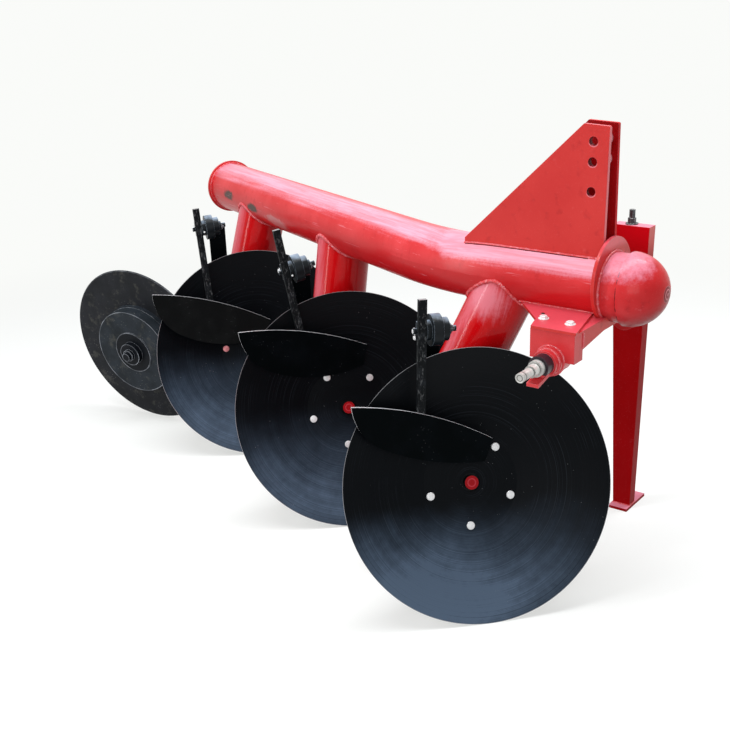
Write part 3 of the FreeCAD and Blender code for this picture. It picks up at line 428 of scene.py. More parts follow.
def leg_red():
    finish = Enamel("leg_red", (0.55, 0.002, 0.004), (0.58, 0.006, 0.008), rub_amount=0.4)
    grain = finish.noise(90.0, 4.0, roughness=0.75)
    rubbed = finish.noise(70.0, 4.0, roughness=0.75, run=(-0.2, 0.15, 0.97))
    # painted highlight along the legs' right side
    lit = (finish.facing((0.86, -0.42, 0.28)) + (rubbed - 0.5) * 0.22).band(0.90, 1.02)
    ragged = rubbed * 0.070 + grain * 0.030
    # a pale painted highlight near the top of the first leg
    highlight_under_bead = 1 - (finish.away(at(80, -88, 716)) + ragged).band(0.070, 0.120)
    # painted shade towards the front left
    shade = (finish.facing((-0.45, 0.85, -0.1)) + (grain - 0.5) * 0.2).band(0.35, 0.95)
    finish.marks(
        (lit * 0.38, LEG_HIGHLIGHT), (highlight_under_bead * 0.50, LEG_TOP_HIGHLIGHT), (shade * 0.8, LEG_SHADE))
    height = finish.height + rubbed * 0.9 + grain * 0.2
    return finish.close(
        finish.colour, finish.rough - 0.06, height, 0.0009, 0.4, shine=0.05, Coat_Weight=0.22,
        Coat_Roughness=0.07, Coat_IOR=1.5)


def stand_red():
    # the stand's own red is a darker copy, painted shade
    finish = Enamel("stand_red", (0.30, 0.001, 0.002), (0.35, 0.0015, 0.003), rub_amount=0.3)
    # painted light: brighter above 700 mm, on upward faces and ahead, with painted edge highlights
    high = finish.along(at(0, 0, 700), UP).band(0.0, 0.12)
    lid = finish.facing(UP).band(0.5, 0.9)
    side = finish.facing(AHEAD).band(0.6, 0.95)
    rounded, edge = finish.rounded_edge(EDGE_WIDTH)
    finish.marks(
        (high, STAND_TOP_LIGHT), (lid, STAND_LID_LIGHT), (side * high, STAND_SIDE_LIGHT), (edge * 0.4, EDGE_HIGHLIGHT))
    return finish.dull(0.1, 0.05, rounded)


def shade_red():
    # a darker copy of the red, painted shade; narrow faces keep the plain red, edges a painted highlight
    finish = Enamel("shade_red", (0.26, 0.001, 0.002), (0.30, 0.002, 0.004), rub_amount=0.3)
    side = 1 - finish.facing(RIGHT).size().band(0.3, 0.6)
    rounded, edge = finish.rounded_edge(EDGE_WIDTH)
    finish.marks((side, RED), (edge * 0.5, EDGE_HIGHLIGHT))
    return finish.dull(0.15, 0.08, rounded)


dress(leg_red(), "standard_1", "standard_2", "standard_3")
dress(stand_red(), "stand_leg", "stand_foot")
dress(shade_red(), "mast_plate_left")
print("red finishes so far", len(FINISHES))

# %% [markdown]
# Each hitch box has a bare dark sleeve round its pin, and a painted highlight on its edges. The
# dome that closes the beam is a pressing: its seam has cracked the paint, the spinning lathe left
# rings at its pole, its upper half carries a mottled pale painted highlight and its lower side
# painted shade. The rings are a sine of the distance from the beam's axis.

# %% Hitch box and dome finishes
MAROON = (0.075, 0.003, 0.004)
BOX_EDGE_HIGHLIGHT, SLEEVE = (0.82, 0.32, 0.36), (0.020, 0.010, 0.016)
# painted highlight on the dome's upper half, painted shade on its lower side
DOME_HIGHLIGHT, DOME_SHADE = (0.82, 0.34, 0.46), (0.16, 0.006, 0.008)
POLE_DARK, POLE_RING = (0.20, 0.004, 0.008), (0.80, 0.26, 0.30)


def box_red():
    finish = Enamel("box_red", (0.52, 0.014, 0.016), rub_amount=0.8)
    sleeve = finish.along(at(0, 0, 0), RIGHT).size().band(0.2412, 0.2418)
    lug = finish.along(at(0, 0, 625), UP).band(-0.001, 0.0)
    rounded, edge = finish.rounded_edge(0.0018)
    # painted highlight on the box's edges
    finish.marks((edge * 0.55, BOX_EDGE_HIGHLIGHT), (sleeve * lug, SLEEVE))
    return finish.glossy(rounded=rounded)


def dome_red():
    finish = Enamel("dome_red", rub_amount=1.5)
    wander = (finish.noise(40.0, 3.0) - 0.5) * 0.010
    seam = finish.along(at(0, 240, BEAM_HIGH), AHEAD) + wander
    crack = seam.near(0.0, 0.0010, 0.0026) * finish.noise(60.0, 3.0).band(0.44, 0.50)
    pole = finish.from_axis(at(0, 0, BEAM_HIGH), AHEAD)
    near_pole = (1 - pole.band(0.0185, 0.0200)) * finish.facing(AHEAD).band(0.6, 0.8)
    ring = (pole * 700).sine().band(0.25, 0.80) * near_pole
    mottling = finish.noise(55.0, 6.0, roughness=0.75)
    # painted highlight where the dome faces up; painted shade where it faces down
    lit = finish.facing((0.42, 0.05, 0.90)).band(0.45, 0.98)
    ragged = (lit + (mottling - 0.5) * 1.2).band(0.40, 1.15) * lit.band(0.0, 0.5)
    shade = finish.facing((-0.2, 0.35, -0.9)).band(0.15, 0.95)
    finish.marks(
        (crack, MAROON), (ragged * 0.66, DOME_HIGHLIGHT), (near_pole * 0.85, POLE_DARK),
        (ring * 0.9, POLE_RING), (shade * 0.85, DOME_SHADE))
    finish.height += ring * 1.5 + mottling * 2.5
    return finish.glossy(mottling.band(0.4, 0.7) * 0.22, 0.15)


dress(box_red(), "hitch_box_right", "hitch_box_left")
dress(dome_red(), "dome_cap")
print("red finishes", sorted(FINISHES))

# %% [markdown]
# A plough disc is spun and ground from plate, then given a thin black gloss. The turning leaves
# fine rings that show through the paint, and handling leaves pale specks and short scratches.
# The lower part of each dish carries a mottled bluish painted reflection, stronger towards one
# side, and its upper part a faint grey painted sheen. The rings follow the distance from the
# disc's own axis, which each disc's joint gives. The cut rim is left bare and bright.

# %% Black discs
BARE_EDGE = (0.46, 0.46, 0.48)
BLACK = (0.0018, 0.0026, 0.0038)
# colours of the painted reflection and the painted sheen
DISC_REFLECTION, DISC_TOP_SHEEN = (0.080, 0.114, 0.166), (0.05, 0.052, 0.055)
DISC_LINE, DISC_SPECK = (0.10, 0.12, 0.15), (0.36, 0.37, 0.38)
DISC_RIM = 0.330
DISC_UP = Vector((-0.213, -0.237, 0.948))
# how strong each disc's painted reflection is, and how far below its middle it starts
DISC_REFLECTIONS = {1: (1.36, 0.03), 2: (0.74, -0.03), 3: (0.74, -0.05)}


def disc_black(number):
    finish = Finish("disc_black_%d" % number)
    joint = JOINTS["disc_%d_spin" % number]
    centre, axis = Vector(joint["pos_m"]), Vector(joint["axis"])
    strength, start = DISC_REFLECTIONS[number]
    reach = finish.from_axis(centre, axis)
    turned = finish.rings(reach, 420.0, 4.0)
    coarse = finish.rings(reach, 60.0, 2.0)
    cloud = finish.noise(7.0, 4.0)
    fine = finish.noise(150.0, 3.0)
    frost = finish.noise(46.0, 5.0, roughness=0.75)
    drop = finish.along(centre, -DISC_UP) + (cloud - 0.5) * 0.10
    leaning = 1 + finish.along(centre, axis.cross(DISC_UP)) * 2.6
    blotch = finish.noise(13.0, 5.0, roughness=0.7).band(0.25, 0.72) * 0.35 + 0.70
    brushed = (0.45 + turned) * (0.75 + coarse * 0.5) * (0.72 + frost * 0.56)
    clean_rim = 1 - reach.band(0.295, DISC_RIM) * 0.35
    # the painted reflection, on the lower part of the dish
    painted_highlight = drop.band(start, 0.31) * leaning * brushed * blotch * clean_rim * strength
    lines = turned.band(0.60, 0.68) * cloud.band(0.42, 0.60)
    specks = finish.specks(95.0, 0.09) * finish.noise(13.0, 2.0).band(0.54, 0.64)
    rim = reach.band(DISC_RIM - 0.0012, DISC_RIM - 0.0007)
    # a faint grey painted sheen on the upper part of the dish
    colour = finish.coats(
        BLACK, (painted_highlight, DISC_REFLECTION), ((0 - drop).band(0.12, 0.34) * 0.10, DISC_TOP_SHEEN),
        (lines * 0.10, DISC_LINE), (specks * 0.5, DISC_SPECK), (rim, BARE_EDGE))
    return finish.close(
        colour, 0.34 + coarse * 0.12 + cloud * 0.10 - rim * 0.1,
        turned * 0.7 + coarse * 0.5 + fine * 0.25, 0.0006, 0.55, shine=0.05,
        Metallic=rim * 0.3)


for number in (1, 2, 3):
    dress(disc_black(number), "disc_%d" % number)
print("disc rims", DISC_RIM, "m from their axes")

# %% [markdown]
# Stems, arms and housings are satin black bar and castings. The scraper blades are bent plate
# cut with a torch, so their faces are black; their cut edges are painted pale, bare steel with a
# painted highlight. The shader tells an edge from a face by how squarely the surface faces along
# the blade's own normal.

# %% Black bars and blades
BAR_SPECK, CUT_EDGE_HIGHLIGHT = (0.30, 0.31, 0.32), (0.62, 0.62, 0.64)
# a blade's colours where they aren't the plain black: the third is duller
BLADE_COLOURS = {3: ((0.0058, 0.0062, 0.0064), (0.0088, 0.0094, 0.0096))}


def face_direction(node):
    """Direction that most of a flat piece's area faces."""
    total = Matrix(((0, 0, 0), (0, 0, 0), (0, 0, 0)))
    for face in NODES[node].data.polygons:
        n = face.normal
        for row in range(3):
            for column in range(3):
                total[row][column] += n[row] * n[column] * face.area
    direction = Vector((0.6, 0.7, 0.3))
    for _ in range(30):
        direction = (total @ direction).normalized()
    return direction


def bar_black(name, edge_axis=None, plain=(0.0008, 0.0016, 0.0020), pale=(0.002, 0.003, 0.004)):
    finish = Finish(name)
    cloud = finish.noise(18.0, 4.0)
    fine = finish.noise(160.0, 3.0)
    specks = finish.specks(120.0, 0.12) * cloud.band(0.5, 0.6)
    colour = finish.coats(plain, (cloud.band(0.4, 0.75), pale), (specks * 0.2, BAR_SPECK))
    bright = 0.0
    if edge_axis is not None:
        # pale cut edges: bare steel with a painted highlight
        bright = 1 - finish.facing(edge_axis).size().band(0.5, 0.7)
        colour = finish.tint(bright, colour, CUT_EDGE_HIGHLIGHT)
    return finish.close(
        colour, 0.42 + cloud * 0.15 - bright * 0.1, cloud * 0.5 + fine * 0.3, 0.0008, 0.5,
        shine=0.02, Metallic=bright * 0.3)


BAR = bar_black("bar_black")
for number in (1, 2, 3):
    blade = "scraper_blade_%d" % number
    outward = face_direction(blade)
    colours = BLADE_COLOURS.get(number, ())
    dress(bar_black("blade_black_%d" % number, outward, *colours), blade)
    dress(BAR, "scraper_arm_%d" % number, "bearing_housing_%d" % number)
    print(blade, "faces", [round(v, 2) for v in outward])

# %% [markdown]
# The scraper stems are sawn bars, pale on their sawn ends. Each hub is a black flange with a red
# nose in its middle, and the clamps are dark sand castings, with a grey-blue painted highlight
# where they face the light and a paler one on their edges.

# %% Stems, hubs and clamps
NOSE_RED, NOSE_RING = (0.36, 0.004, 0.008), (0.62, 0.06, 0.08)
# dark iron, its painted highlight where it faces the light, and its painted edge highlight
CAST_DARK, CAST_LIT, CAST_EDGE_HIGHLIGHT = (0.003, 0.005, 0.007), (0.360, 0.440, 0.550), (0.34, 0.40, 0.47)


def stem_black():
    finish = Finish("stem_black")
    cloud = finish.noise(40.0, 4.0)
    end = finish.facing(UP).band(0.75, 0.9)
    rubbed = finish.noise(190.0, 4.0, (1, 1, 0.3), 0.8).band(0.54, 0.62)
    colour = finish.coats(
        (0.003, 0.004, 0.005), (cloud.band(0.5, 0.8), (0.022, 0.025, 0.030)),
        (rubbed * 0.6, (0.150, 0.155, 0.160)), (end * 0.7, (0.42, 0.40, 0.40)))
    return finish.close(colour, 0.4 + cloud * 0.2, cloud, 0.0008, 0.5, shine=0.08)


def hub_finish(name, joint):
    finish = Finish(name)
    reach = finish.from_axis(joint["pos_m"], joint["axis"])
    cloud = finish.noise(60.0, 3.0)
    nose = 1 - reach.band(0.0165, 0.0175)
    ring = reach.near(0.0095)
    colour = finish.tint(nose, BLACK, finish.tint(ring * 0.6, NOSE_RED, NOSE_RING))
    height = cloud + ring * 0.6
    return finish.close(colour, 0.35 + cloud * 0.2, height, 0.0008, 0.4, shine=0.12)


def casting():
    finish = Finish("clamp_iron")
    cloud = finish.noise(30.0, 4.0)
    sand = finish.noise(330.0, 4.0)
    # painted highlight where the casting faces the light
    lit = (finish.facing((0.35, -0.40, 0.85)) + (cloud - 0.5) * 0.8).band(0.50, 1.05)
    rounded, edge = finish.rounded_edge(0.0015)
    colour = finish.coats(CAST_DARK, (lit, CAST_LIT), (edge * 0.65, CAST_EDGE_HIGHLIGHT))
    height = sand * 0.4 + cloud * 0.3
    return finish.close(colour, 0.30 + cloud * 0.2, height, 0.0010, 0.5, rounded, shine=0.16)


dress(stem_black(), *("scraper_stem_%d" % number for number in (1, 2, 3)))
for number in (1, 2, 3):
    dress(hub_finish("hub_finish_%d" % number, JOINTS["disc_%d_spin" % number]), "hub_%d" % number)
dress(casting(), *("scraper_clamp_%d" % number for number in (1, 2, 3)))
print("finishes so far", len(FINISHES))

# %% [markdown]
# The furrow wheel is dull: turned steel with a dark oily coat and dust in patches, with a pale
# painted highlight on the rims of the drum's steps. Each rim is found by its radius, and only where
# the surface faces along the wheel's axis.

# %% Wheel steel
WHEEL = JOINTS["furrow_wheel_spin"]
WHEEL_DUST, WHEEL_SPECK = (0.105, 0.102, 0.088), (0.34, 0.33, 0.30)
# the dark centre, and the painted highlight on the rims of the steps
WHEEL_BORE, WHEEL_RIM_HIGHLIGHT = (0.002, 0.003, 0.005), (0.36, 0.38, 0.42)


def wheel_steel(name, plain, rubbed, steps):
    finish = Finish(name)
    reach = finish.from_axis(WHEEL["pos_m"], WHEEL["axis"])
    cloud = finish.noise(12.0, 4.0)
    fine = finish.noise(140.0, 3.0)
    turned = finish.rings(reach, 300.0, 3.0)
    dust = finish.noise(22.0, 5.0, roughness=0.7).band(0.52, 0.70)
    specks = finish.specks(110.0, 0.13) * cloud.band(0.45, 0.6)
    # painted highlight on the rims of the drum's steps
    lip_highlight = sum(reach.near(radius) * 0.8 for radius in steps)
    lip_highlight = lip_highlight * finish.facing(WHEEL["axis"]).size().band(0.6, 0.9)
    lip_highlight = lip_highlight * (0.35 + finish.noise(24.0, 2.0).band(0.40, 0.62) * 0.65)
    bore = 1 - reach.band(0.0710, 0.0725)
    colour = finish.coats(
        plain, (cloud.band(0.3, 0.7), rubbed), (dust * 0.40, WHEEL_DUST),
        (specks * 0.6, WHEEL_SPECK), (bore * 0.94, WHEEL_BORE), (lip_highlight, WHEEL_RIM_HIGHLIGHT))
    rough = 0.42 + cloud * 0.2 - lip_highlight * 0.1
    return finish.close(colour, rough, turned * 0.5 + fine * 0.4, 0.0007, 0.5, shine=0.10)


dress(
    wheel_steel("wheel_steel", (0.008, 0.009, 0.011), (0.017, 0.018, 0.022), (0.2775,)),
    "furrow_wheel_disc")
dress(
    wheel_steel(
        "drum_steel", (0.009, 0.012, 0.015), (0.024, 0.030, 0.038),
        (0.0145, 0.0195, 0.0390, 0.0725, 0.1485)),
    "furrow_wheel_drum")
dress(BAR, "furrow_wheel_spindle")
print("wheel axis", [round(v, 3) for v in WHEEL["axis"]])

# %% [markdown]
# The lower link pins are bare turned steel, with grime in their grooves and round the centre mark
# on each end. Bolts and nuts are plated, pale and a little cloudy, with a pale painted highlight on
# their edges.

# %% Pin steel and plating
PIN_MIDDLE = at(0, 150, 641)
PIN_MARKS = (0.2692, 0.2836, 0.3055, 0.3385)        # metres out from the plough's middle
GRIME = (0.050, 0.048, 0.046)


def pin_steel():
    finish = Finish("pin_steel")
    cloud = finish.noise(45.0, 4.0)
    out = finish.along(PIN_MIDDLE, RIGHT).size()
    colour = finish.tint(cloud.band(0.35, 0.7), (0.70, 0.69, 0.66), (0.46, 0.45, 0.43))
    for mark in PIN_MARKS:
        colour = finish.tint(out.near(mark) * 0.85, colour, GRIME)
    centre_ring = finish.from_axis(PIN_MIDDLE, RIGHT).near(0.0066, 0.0006, 0.0016)
    colour = finish.tint(centre_ring * out.band(0.3490, 0.3495) * 0.8, colour, GRIME)
    return finish.close(colour, 0.28 + cloud * 0.15, cloud, 0.0004, 0.4, Metallic=0.35)


def zinc(name, plain, dull, metal=0.85):
    finish = Finish(name)
    cloud = finish.noise(160.0, 4.0)
    rounded, edge = finish.rounded_edge(0.0012)
    # a pale painted highlight on the edges
    colour = finish.coats(
        plain, (cloud.band(0.35, 0.7), dull), (edge * 0.5, (0.80, 0.79, 0.80)))
    return finish.close(colour, 0.24 + cloud * 0.2, cloud, 0.0004, 0.4, rounded, Metallic=metal)


dress(pin_steel(), "hitch_pin_right", "hitch_pin_left")
DARK_ZINC = zinc("dark_zinc", (0.10, 0.10, 0.11), (0.04, 0.04, 0.045))
BOLT_ZINC = zinc("bolt_zinc", (0.88, 0.88, 0.88), (0.78, 0.78, 0.79), 0.2)
# pink plating: a painted reflection of red
BOLT_RED_REFLECTION = zinc("bolt_rosy", (0.80, 0.26, 0.28), (0.62, 0.16, 0.18), 0.2)
# a near-black flat head that stands for a hole: painted shade
HOLE_SHADE_PLUG = zinc("hole_dark", (0.012, 0.004, 0.004), (0.02, 0.006, 0.006))
dress(DARK_ZINC, "stand_top_bolt")
ours = list(FINISHES.values())
bare = [name for name, node in NODES.items() if node.data.materials[0] not in ours]
print("nodes without a finish of their own", bare)

# %% [markdown]
# Some shapes follow a rule: weld follows its seam, and bolts sit at their places. Geometry Nodes
# suit those, because one tree serves every place. A tree here has named inputs and ends in real
# faces with one material. It is run on an object, and the result is kept as a plain mesh.

# %% Geometry trees
class Shaper(Nodes):
    """A Geometry Nodes tree. Its inputs are given as a kind, or as a number to start from."""

    def __init__(self, name, inputs):
        super().__init__(bpy.data.node_groups.new(name, "GeometryNodeTree"))
        sockets = self.tree.interface
        for label, given in inputs.items():
            kind = {float: "Float", int: "Int"}.get(type(given), given)
            item = sockets.new_socket(
                name=label, in_out="INPUT", socket_type="NodeSocket" + kind)
            if kind != given:
                item.default_value = given
        sockets.new_socket(name="Made", in_out="OUTPUT", socket_type="NodeSocketGeometry")
        given = self.tree.nodes.new("NodeGroupInput").outputs
        self.given = {socket.name: Wire(self, socket) for socket in given if socket.name}

    def paint(self, geometry, material):
        whole = self.add("GeometryNodeRealizeInstances", {}, {"Geometry": geometry})
        values = {"Geometry": whole, "Material": material}
        self.add("NodeGroupOutput", {}, {0: self.add("GeometryNodeSetMaterial", {}, values)})
        print(self.tree.name, "tree has", len(self.tree.nodes), "nodes")


def put(name, data):
    """Stand a mesh, lamp or camera in the scene."""
    thing = bpy.data.objects.new(name, data)
    bpy.context.scene.collection.objects.link(thing)
    return thing


def mesh_object(name, points, edges=(), faces=()):
    mesh = bpy.data.meshes.new(name)
    mesh.from_pydata([tuple(p) for p in points], list(edges), list(faces))
    return put(name, mesh)


def run_tree(source, shaper, name, **sizes):
    """Run a tree on a source object and keep the result as a plain mesh."""
    modifier = source.modifiers.new("tree", "NODES")
    modifier.node_group = shaper.tree
    for item in shaper.tree.interface.items_tree:
        key = item.name.replace(" ", "_")
        if item.in_out == "INPUT" and key in sizes:
            modifier[item.identifier] = sizes[key]
    evaluated = source.evaluated_get(bpy.context.evaluated_depsgraph_get())
    mesh = bpy.data.meshes.new_from_object(evaluated)
    source.modifiers.remove(modifier)
    bpy.data.objects.remove(source)
    mesh.name = name
    return put(name, mesh)


# %% [markdown]
# Beads of weld join the tubes and plates. A bead is a rope of small overlapping puddles, so it is
# swept along the seam with a radius that swells once every puddle and wanders a little. The seam's
# points come in, and the bead comes out.

# %% The weld bead tree
WELD = Shaper("weld_bead", {
    "Seam": "Geometry", "Bead radius": 0.004, "Puddle pitch": 0.005, "Wander": 0.0012,
    "Paint": "Material"})


def grow_weld_tree(tree, given):
    pitch = given["Puddle pitch"]
    line = tree.add("GeometryNodeMeshToCurve", {}, {"Mesh": given["Seam"]})
    even = tree.add(
        "GeometryNodeResampleCurve", {"mode": "LENGTH"}, {"Curve": line, "Length": pitch / 4})
    puddles = tree.add("GeometryNodeSplineParameter", output="Length") / pitch
    swell = (puddles * math.tau).sine()
    soft = tree.add("ShaderNodeTexNoise", {}, {"Scale": 90.0, "Detail": 2.0})
    radius = (swell * 0.14 + (soft * 0.9 + 0.55)) * given["Bead radius"]
    circle = tree.add("GeometryNodeCurvePrimitiveCircle", {}, {"Resolution": 10, "Radius": 1.0})
    swept = tree.add("GeometryNodeCurveToMesh", {}, {
        "Curve": even, "Profile Curve": circle, "Scale": radius, "Fill Caps": True})
    rough = tree.add("ShaderNodeTexNoise", {}, {"Scale": 420.0, "Detail": 2.0}, "Color")
    centred = tree.vector("SUBTRACT", rough, (0.5, 0.5, 0.5))
    shift = tree.add(
        "ShaderNodeVectorMath", {"operation": "SCALE"}, {0: centred, "Scale": given["Wander"]})
    moved = tree.add("GeometryNodeSetPosition", {}, {"Geometry": swept, "Offset": shift})
    tree.paint(
        tree.add("GeometryNodeSetShadeSmooth", {}, {"Geometry": moved}), given["Paint"])


grow_weld_tree(WELD, WELD.given)

# %% [markdown]
# Each seam is found on the CAD pieces themselves. Where a leg meets the beam, rays sent up the
# leg's wall strike the beam along exactly the coped edge. Cracks and seams along the beam's top
# are found by rays sent down. A seam is a path, whether it closes, and its bead's size.

# %% Seams on the beam
# each leg's centre line, low and at the beam's height
LEG_LINES = {
    1: ((84.5, -163.6, 500), (-6.5, -65.7, 768)),
    2: ((-167.7, -755.9, 500), (-216.4, -753.0, 768)),
    3: ((-372.8, -1293.6, 500), (-423.5, -1250.5, 768))}
LEG_RADIUS = 0.0775
LEG_CLEAR = 0.0012           # the bead's middle lies this far outside the leg's wall


def surface_of(name):
    """A CAD piece's surface, for rays to strike."""
    mesh = NODES[name].data
    points = [vertex.co for vertex in mesh.vertices]
    return BVHTree.FromPolygons(points, [tuple(face.vertices) for face in mesh.polygons])


BEAM_SURFACE = surface_of("main_beam")


def spokes(u, w, count, start=0.0):
    """Directions spread evenly round a circle, from u towards w."""
    angles = [start + math.tau * k / count for k in range(count)]
    return [u * math.cos(angle) + w * math.sin(angle) for angle in angles]


def leg_top(number):
    """Path round a leg where its wall runs into the beam."""
    low, high = (at(*place) for place in LEG_LINES[number])
    up = (high - low).normalized()
    side = up.orthogonal().normalized()
    hits = [
        BEAM_SURFACE.ray_cast(low + spoke * (LEG_RADIUS + LEG_CLEAR), up, 0.30)[0]
        for spoke in spokes(side, up.cross(side), 96)]
    return [hit for hit in hits if hit is not None]


def dropped(x, y_from, y_to, count=60):
    """Run along the beam's top at one side distance."""
    steps = [y_from + (y_to - y_from) * k / count for k in range(count + 1)]
    hits = [BEAM_SURFACE.ray_cast(at(x, y, 900), -UP)[0] for y in steps]
    return [hit for hit in hits if hit is not None]


seams = [(leg_top(number), True, 5.0) for number in (1, 2, 3)]
seams += [(dropped(x, -184, 183), False, 3.2) for x in (-37.0, -25.0, 25.0, 37.0)]
cracks_along = [(dropped(x, -180, 150), False, 1.3) for x in (40.2, -40.2)]
print("points where the legs meet the beam", [len(path) for path, _, _ in seams[:3]])

# %% [markdown]
# Rings about the beam and the pins, and straight runs along the hitch, are simpler. They are
# worked out from sizes. Rows that exist on both sides of the plough are written once.

# %% Rings and straight seams
COLLAR_RINGS = ((188, 0.0815, 3.4), (196.5, 0.0825, 3.6), (240, 0.0815, 1.6))
PIN_RINGS = ((212, 0.0345, 2.6), (226, 0.0305, 1.8))
END_REACH, END_RADIUS = 1.339, 0.0805         # the end plate's seam, from the bend


def ring(centre, radius, axis):
    """Points on a circle about a direction."""
    axis = Vector(axis).normalized()
    u = axis.orthogonal() if abs(axis.y) < 0.9 else Vector((axis.y, -axis.x, 0))
    u.normalize()
    return [centre + spoke * radius for spoke in spokes(u, axis.cross(u).normalized(), 96)]


for y, radius, size in COLLAR_RINGS:
    seams.append((ring(at(0, y, BEAM_HIGH), radius, AHEAD), True, size))
beam_end = at(0, BEND, BEAM_HIGH) + REARWARD * END_REACH
seams.append((ring(beam_end, END_RADIUS, REARWARD), True, 2.6))
for side in (-1, 1):
    for z, size in ((716.5, 3.2), (708.5, 3.0)):
        seams.append(([at(side * 61, y, z) for y in range(-14, 188, 6)], False, size))
    for x, radius, size in PIN_RINGS:
        seams.append((ring(at(side * x, 150, 641), radius, RIGHT), True, size))
    seams.append(([at(side * 172, y, 666) for y in range(134, 208, 6)], False, 2.6))
    seams.append(([at(side * 171.5, 209.5, z) for z in range(668, 706, 6)], False, 2.2))
print("seams", len(seams))

# %% [markdown]
# Painted weld is lighter than the tube beside it, because its ripples catch light and hold dust.
# Beside the mast the paint has cracked along the bead, so a thin dark bead lies there. The stand
# has a bead round its foot, which swings with the stand.

# %% Weld beads and cracks
PUDDLE_PITCH = 0.0052
WELD_DUST = (0.78, 0.34, 0.38)


def weld_all(name, lines, paint):
    """Beads along seams, joined into one mesh."""
    grown = bmesh.new()
    for path, closed, size in lines:
        count = len(path)
        edges = [(k, (k + 1) % count) for k in range(count if closed else count - 1)]
        bead = run_tree(
            mesh_object("seam", path, edges), WELD, "bead", Bead_radius=size / 1000,
            Puddle_pitch=PUDDLE_PITCH, Wander=size * 0.00042, Paint=paint)
        grown.from_mesh(bead.data)
        bpy.data.objects.remove(bead)
    mesh = bpy.data.meshes.new(name)
    grown.to_mesh(mesh)
    grown.free()
    mesh.materials.append(paint)
    print(name, len(lines), "beads", len(mesh.polygons), "faces")
    return put(name, mesh)


weld_finish = Enamel("weld_paint", (0.60, 0.030, 0.036), (0.70, 0.11, 0.13))
weld_finish.marks((weld_finish.noise(120.0, 3.0).band(0.48, 0.68) * 0.45, WELD_DUST))
WELD_PAINT = weld_finish.glossy(0.08, 0.6)
CRACK_PAINT = Enamel("crack_maroon", MAROON, (0.16, 0.006, 0.008)).dull(0.3, 0.05, depth=0.0005)

welds = weld_all("weld_beads", seams, WELD_PAINT)
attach(welds, "frame")
cracks = weld_all("weld_cracks", cracks_along, CRACK_PAINT)
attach(cracks, "frame")

foot_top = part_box("stand_foot")[1].z
corners = [at(x, y, 0) for x, y in ((-400, 47), (-400, 98), (-432, 98), (-432, 47))]
around_foot = [Vector((corner.x, corner.y, foot_top)) for corner in corners]
stand_welds = weld_all("stand_welds", [(around_foot, True, 2.6)], WELD_PAINT)
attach(stand_welds, "stand")

# %% [markdown]
# Anything round is turned, as on a lathe: a few pairs of radius and height are carried round Z,
# and the faces between them are closed. A nut or bolt head is the same shape with some of its
# rows drawn in to six flats.

# %% The lathe
def lathe(name, profile, sides=24, faceted=()):
    """Turned shape about Z from (radius, height) pairs; faceted pairs are six-sided."""
    grown = bmesh.new()
    rows = []
    half = math.tau / 12
    for index, (radius, height) in enumerate(profile):
        if radius == 0:
            rows.append([grown.verts.new((0, 0, height))])
            continue
        row = []
        for k in range(sides):
            angle = math.tau * k / sides
            reach = radius
            if index in faceted:
                reach = radius * math.cos(half) / math.cos(angle % (half * 2) - half)
            row.append(grown.verts.new((reach * math.cos(angle), reach * math.sin(angle), height)))
        rows.append(row)
    if profile[0][0] > 0:
        rows.append(rows[0])
    for low, high in zip(rows, rows[1:]):
        for k in range(sides):
            j = (k + 1) % sides
            quad = [low[k % len(low)], low[j % len(low)], high[j % len(high)], high[k % len(high)]]
            grown.faces.new(list(dict.fromkeys(quad)))
    bmesh.ops.recalc_face_normals(grown, faces=grown.faces)
    mesh = bpy.data.meshes.new(name)
    grown.to_mesh(mesh)
    grown.free()
    mesh.shade_smooth()
    mesh.set_sharp_from_angle(angle=math.radians(35))
    return put(name, mesh)


print("lathe ready")

# %% [markdown]
# Welded rings stiffen the upper two link holes on the mast plates' inner faces. They are turned
# shapes laid on their sides, left clear of the gap where the link's ball sits. Their pale pink is
# painted light, for they stand in the plates' shade, and their bores get painted shade.

# %% Top link rings
RING_PROFILE = [
    (0.0108, 0.0), (0.0108, 0.0060), (0.0120, 0.0072), (0.0165, 0.0072), (0.0180, 0.0055),
    (0.0180, 0.0)]
RING_PLACE = 26              # millimetres from the plough's middle to a plate's inner face

# pale pink paint: painted light on rings that stand in shade
ring_lit_finish = Enamel("ring_paint", (0.78, 0.30, 0.34), (0.86, 0.46, 0.50))
for hole in LINK_HOLES:
    hole_dark(ring_lit_finish, hole, 0.0007)
RING_LIT_PAINT = ring_lit_finish.glossy(0.08, 0.5)

for index, hole in enumerate(LINK_HOLES[:2], 1):
    for side, label in ((-1, "left"), (1, "right")):
        thing = lathe("link_ring_%d_%s" % (index, label), RING_PROFILE, 40)
        turn = UP.rotation_difference(RIGHT * -side).to_matrix().to_4x4()
        place = Vector((at(side * RING_PLACE, 0, 0).x, hole.y, hole.z))
        thing.data.transform(Matrix.Translation(place) @ turn)
        thing.data.materials.append(RING_LIT_PAINT)
        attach(thing, "frame")
        print(thing.name, len(thing.data.polygons), "faces")

# %% [markdown]
# Bolts, nuts and washers repeat all over the plough. One tree places them: each point carries the
# way its bolt looks out and how big it is, and the tree puts a copy there and turns it. The turn is
# random but its seed is fixed, so the bolts come out the same each time.

# %% The fastener tree
BOLTS = Shaper("fasteners", {
    "Places": "Geometry", "Pattern": "Object", "Loose turn": 0.5, "Seed": 7,
    "Plating": "Material"})
FLOAT_MAX, FLOAT_VALUE = 3, 1        # the number sockets of Random Value, which has four kinds


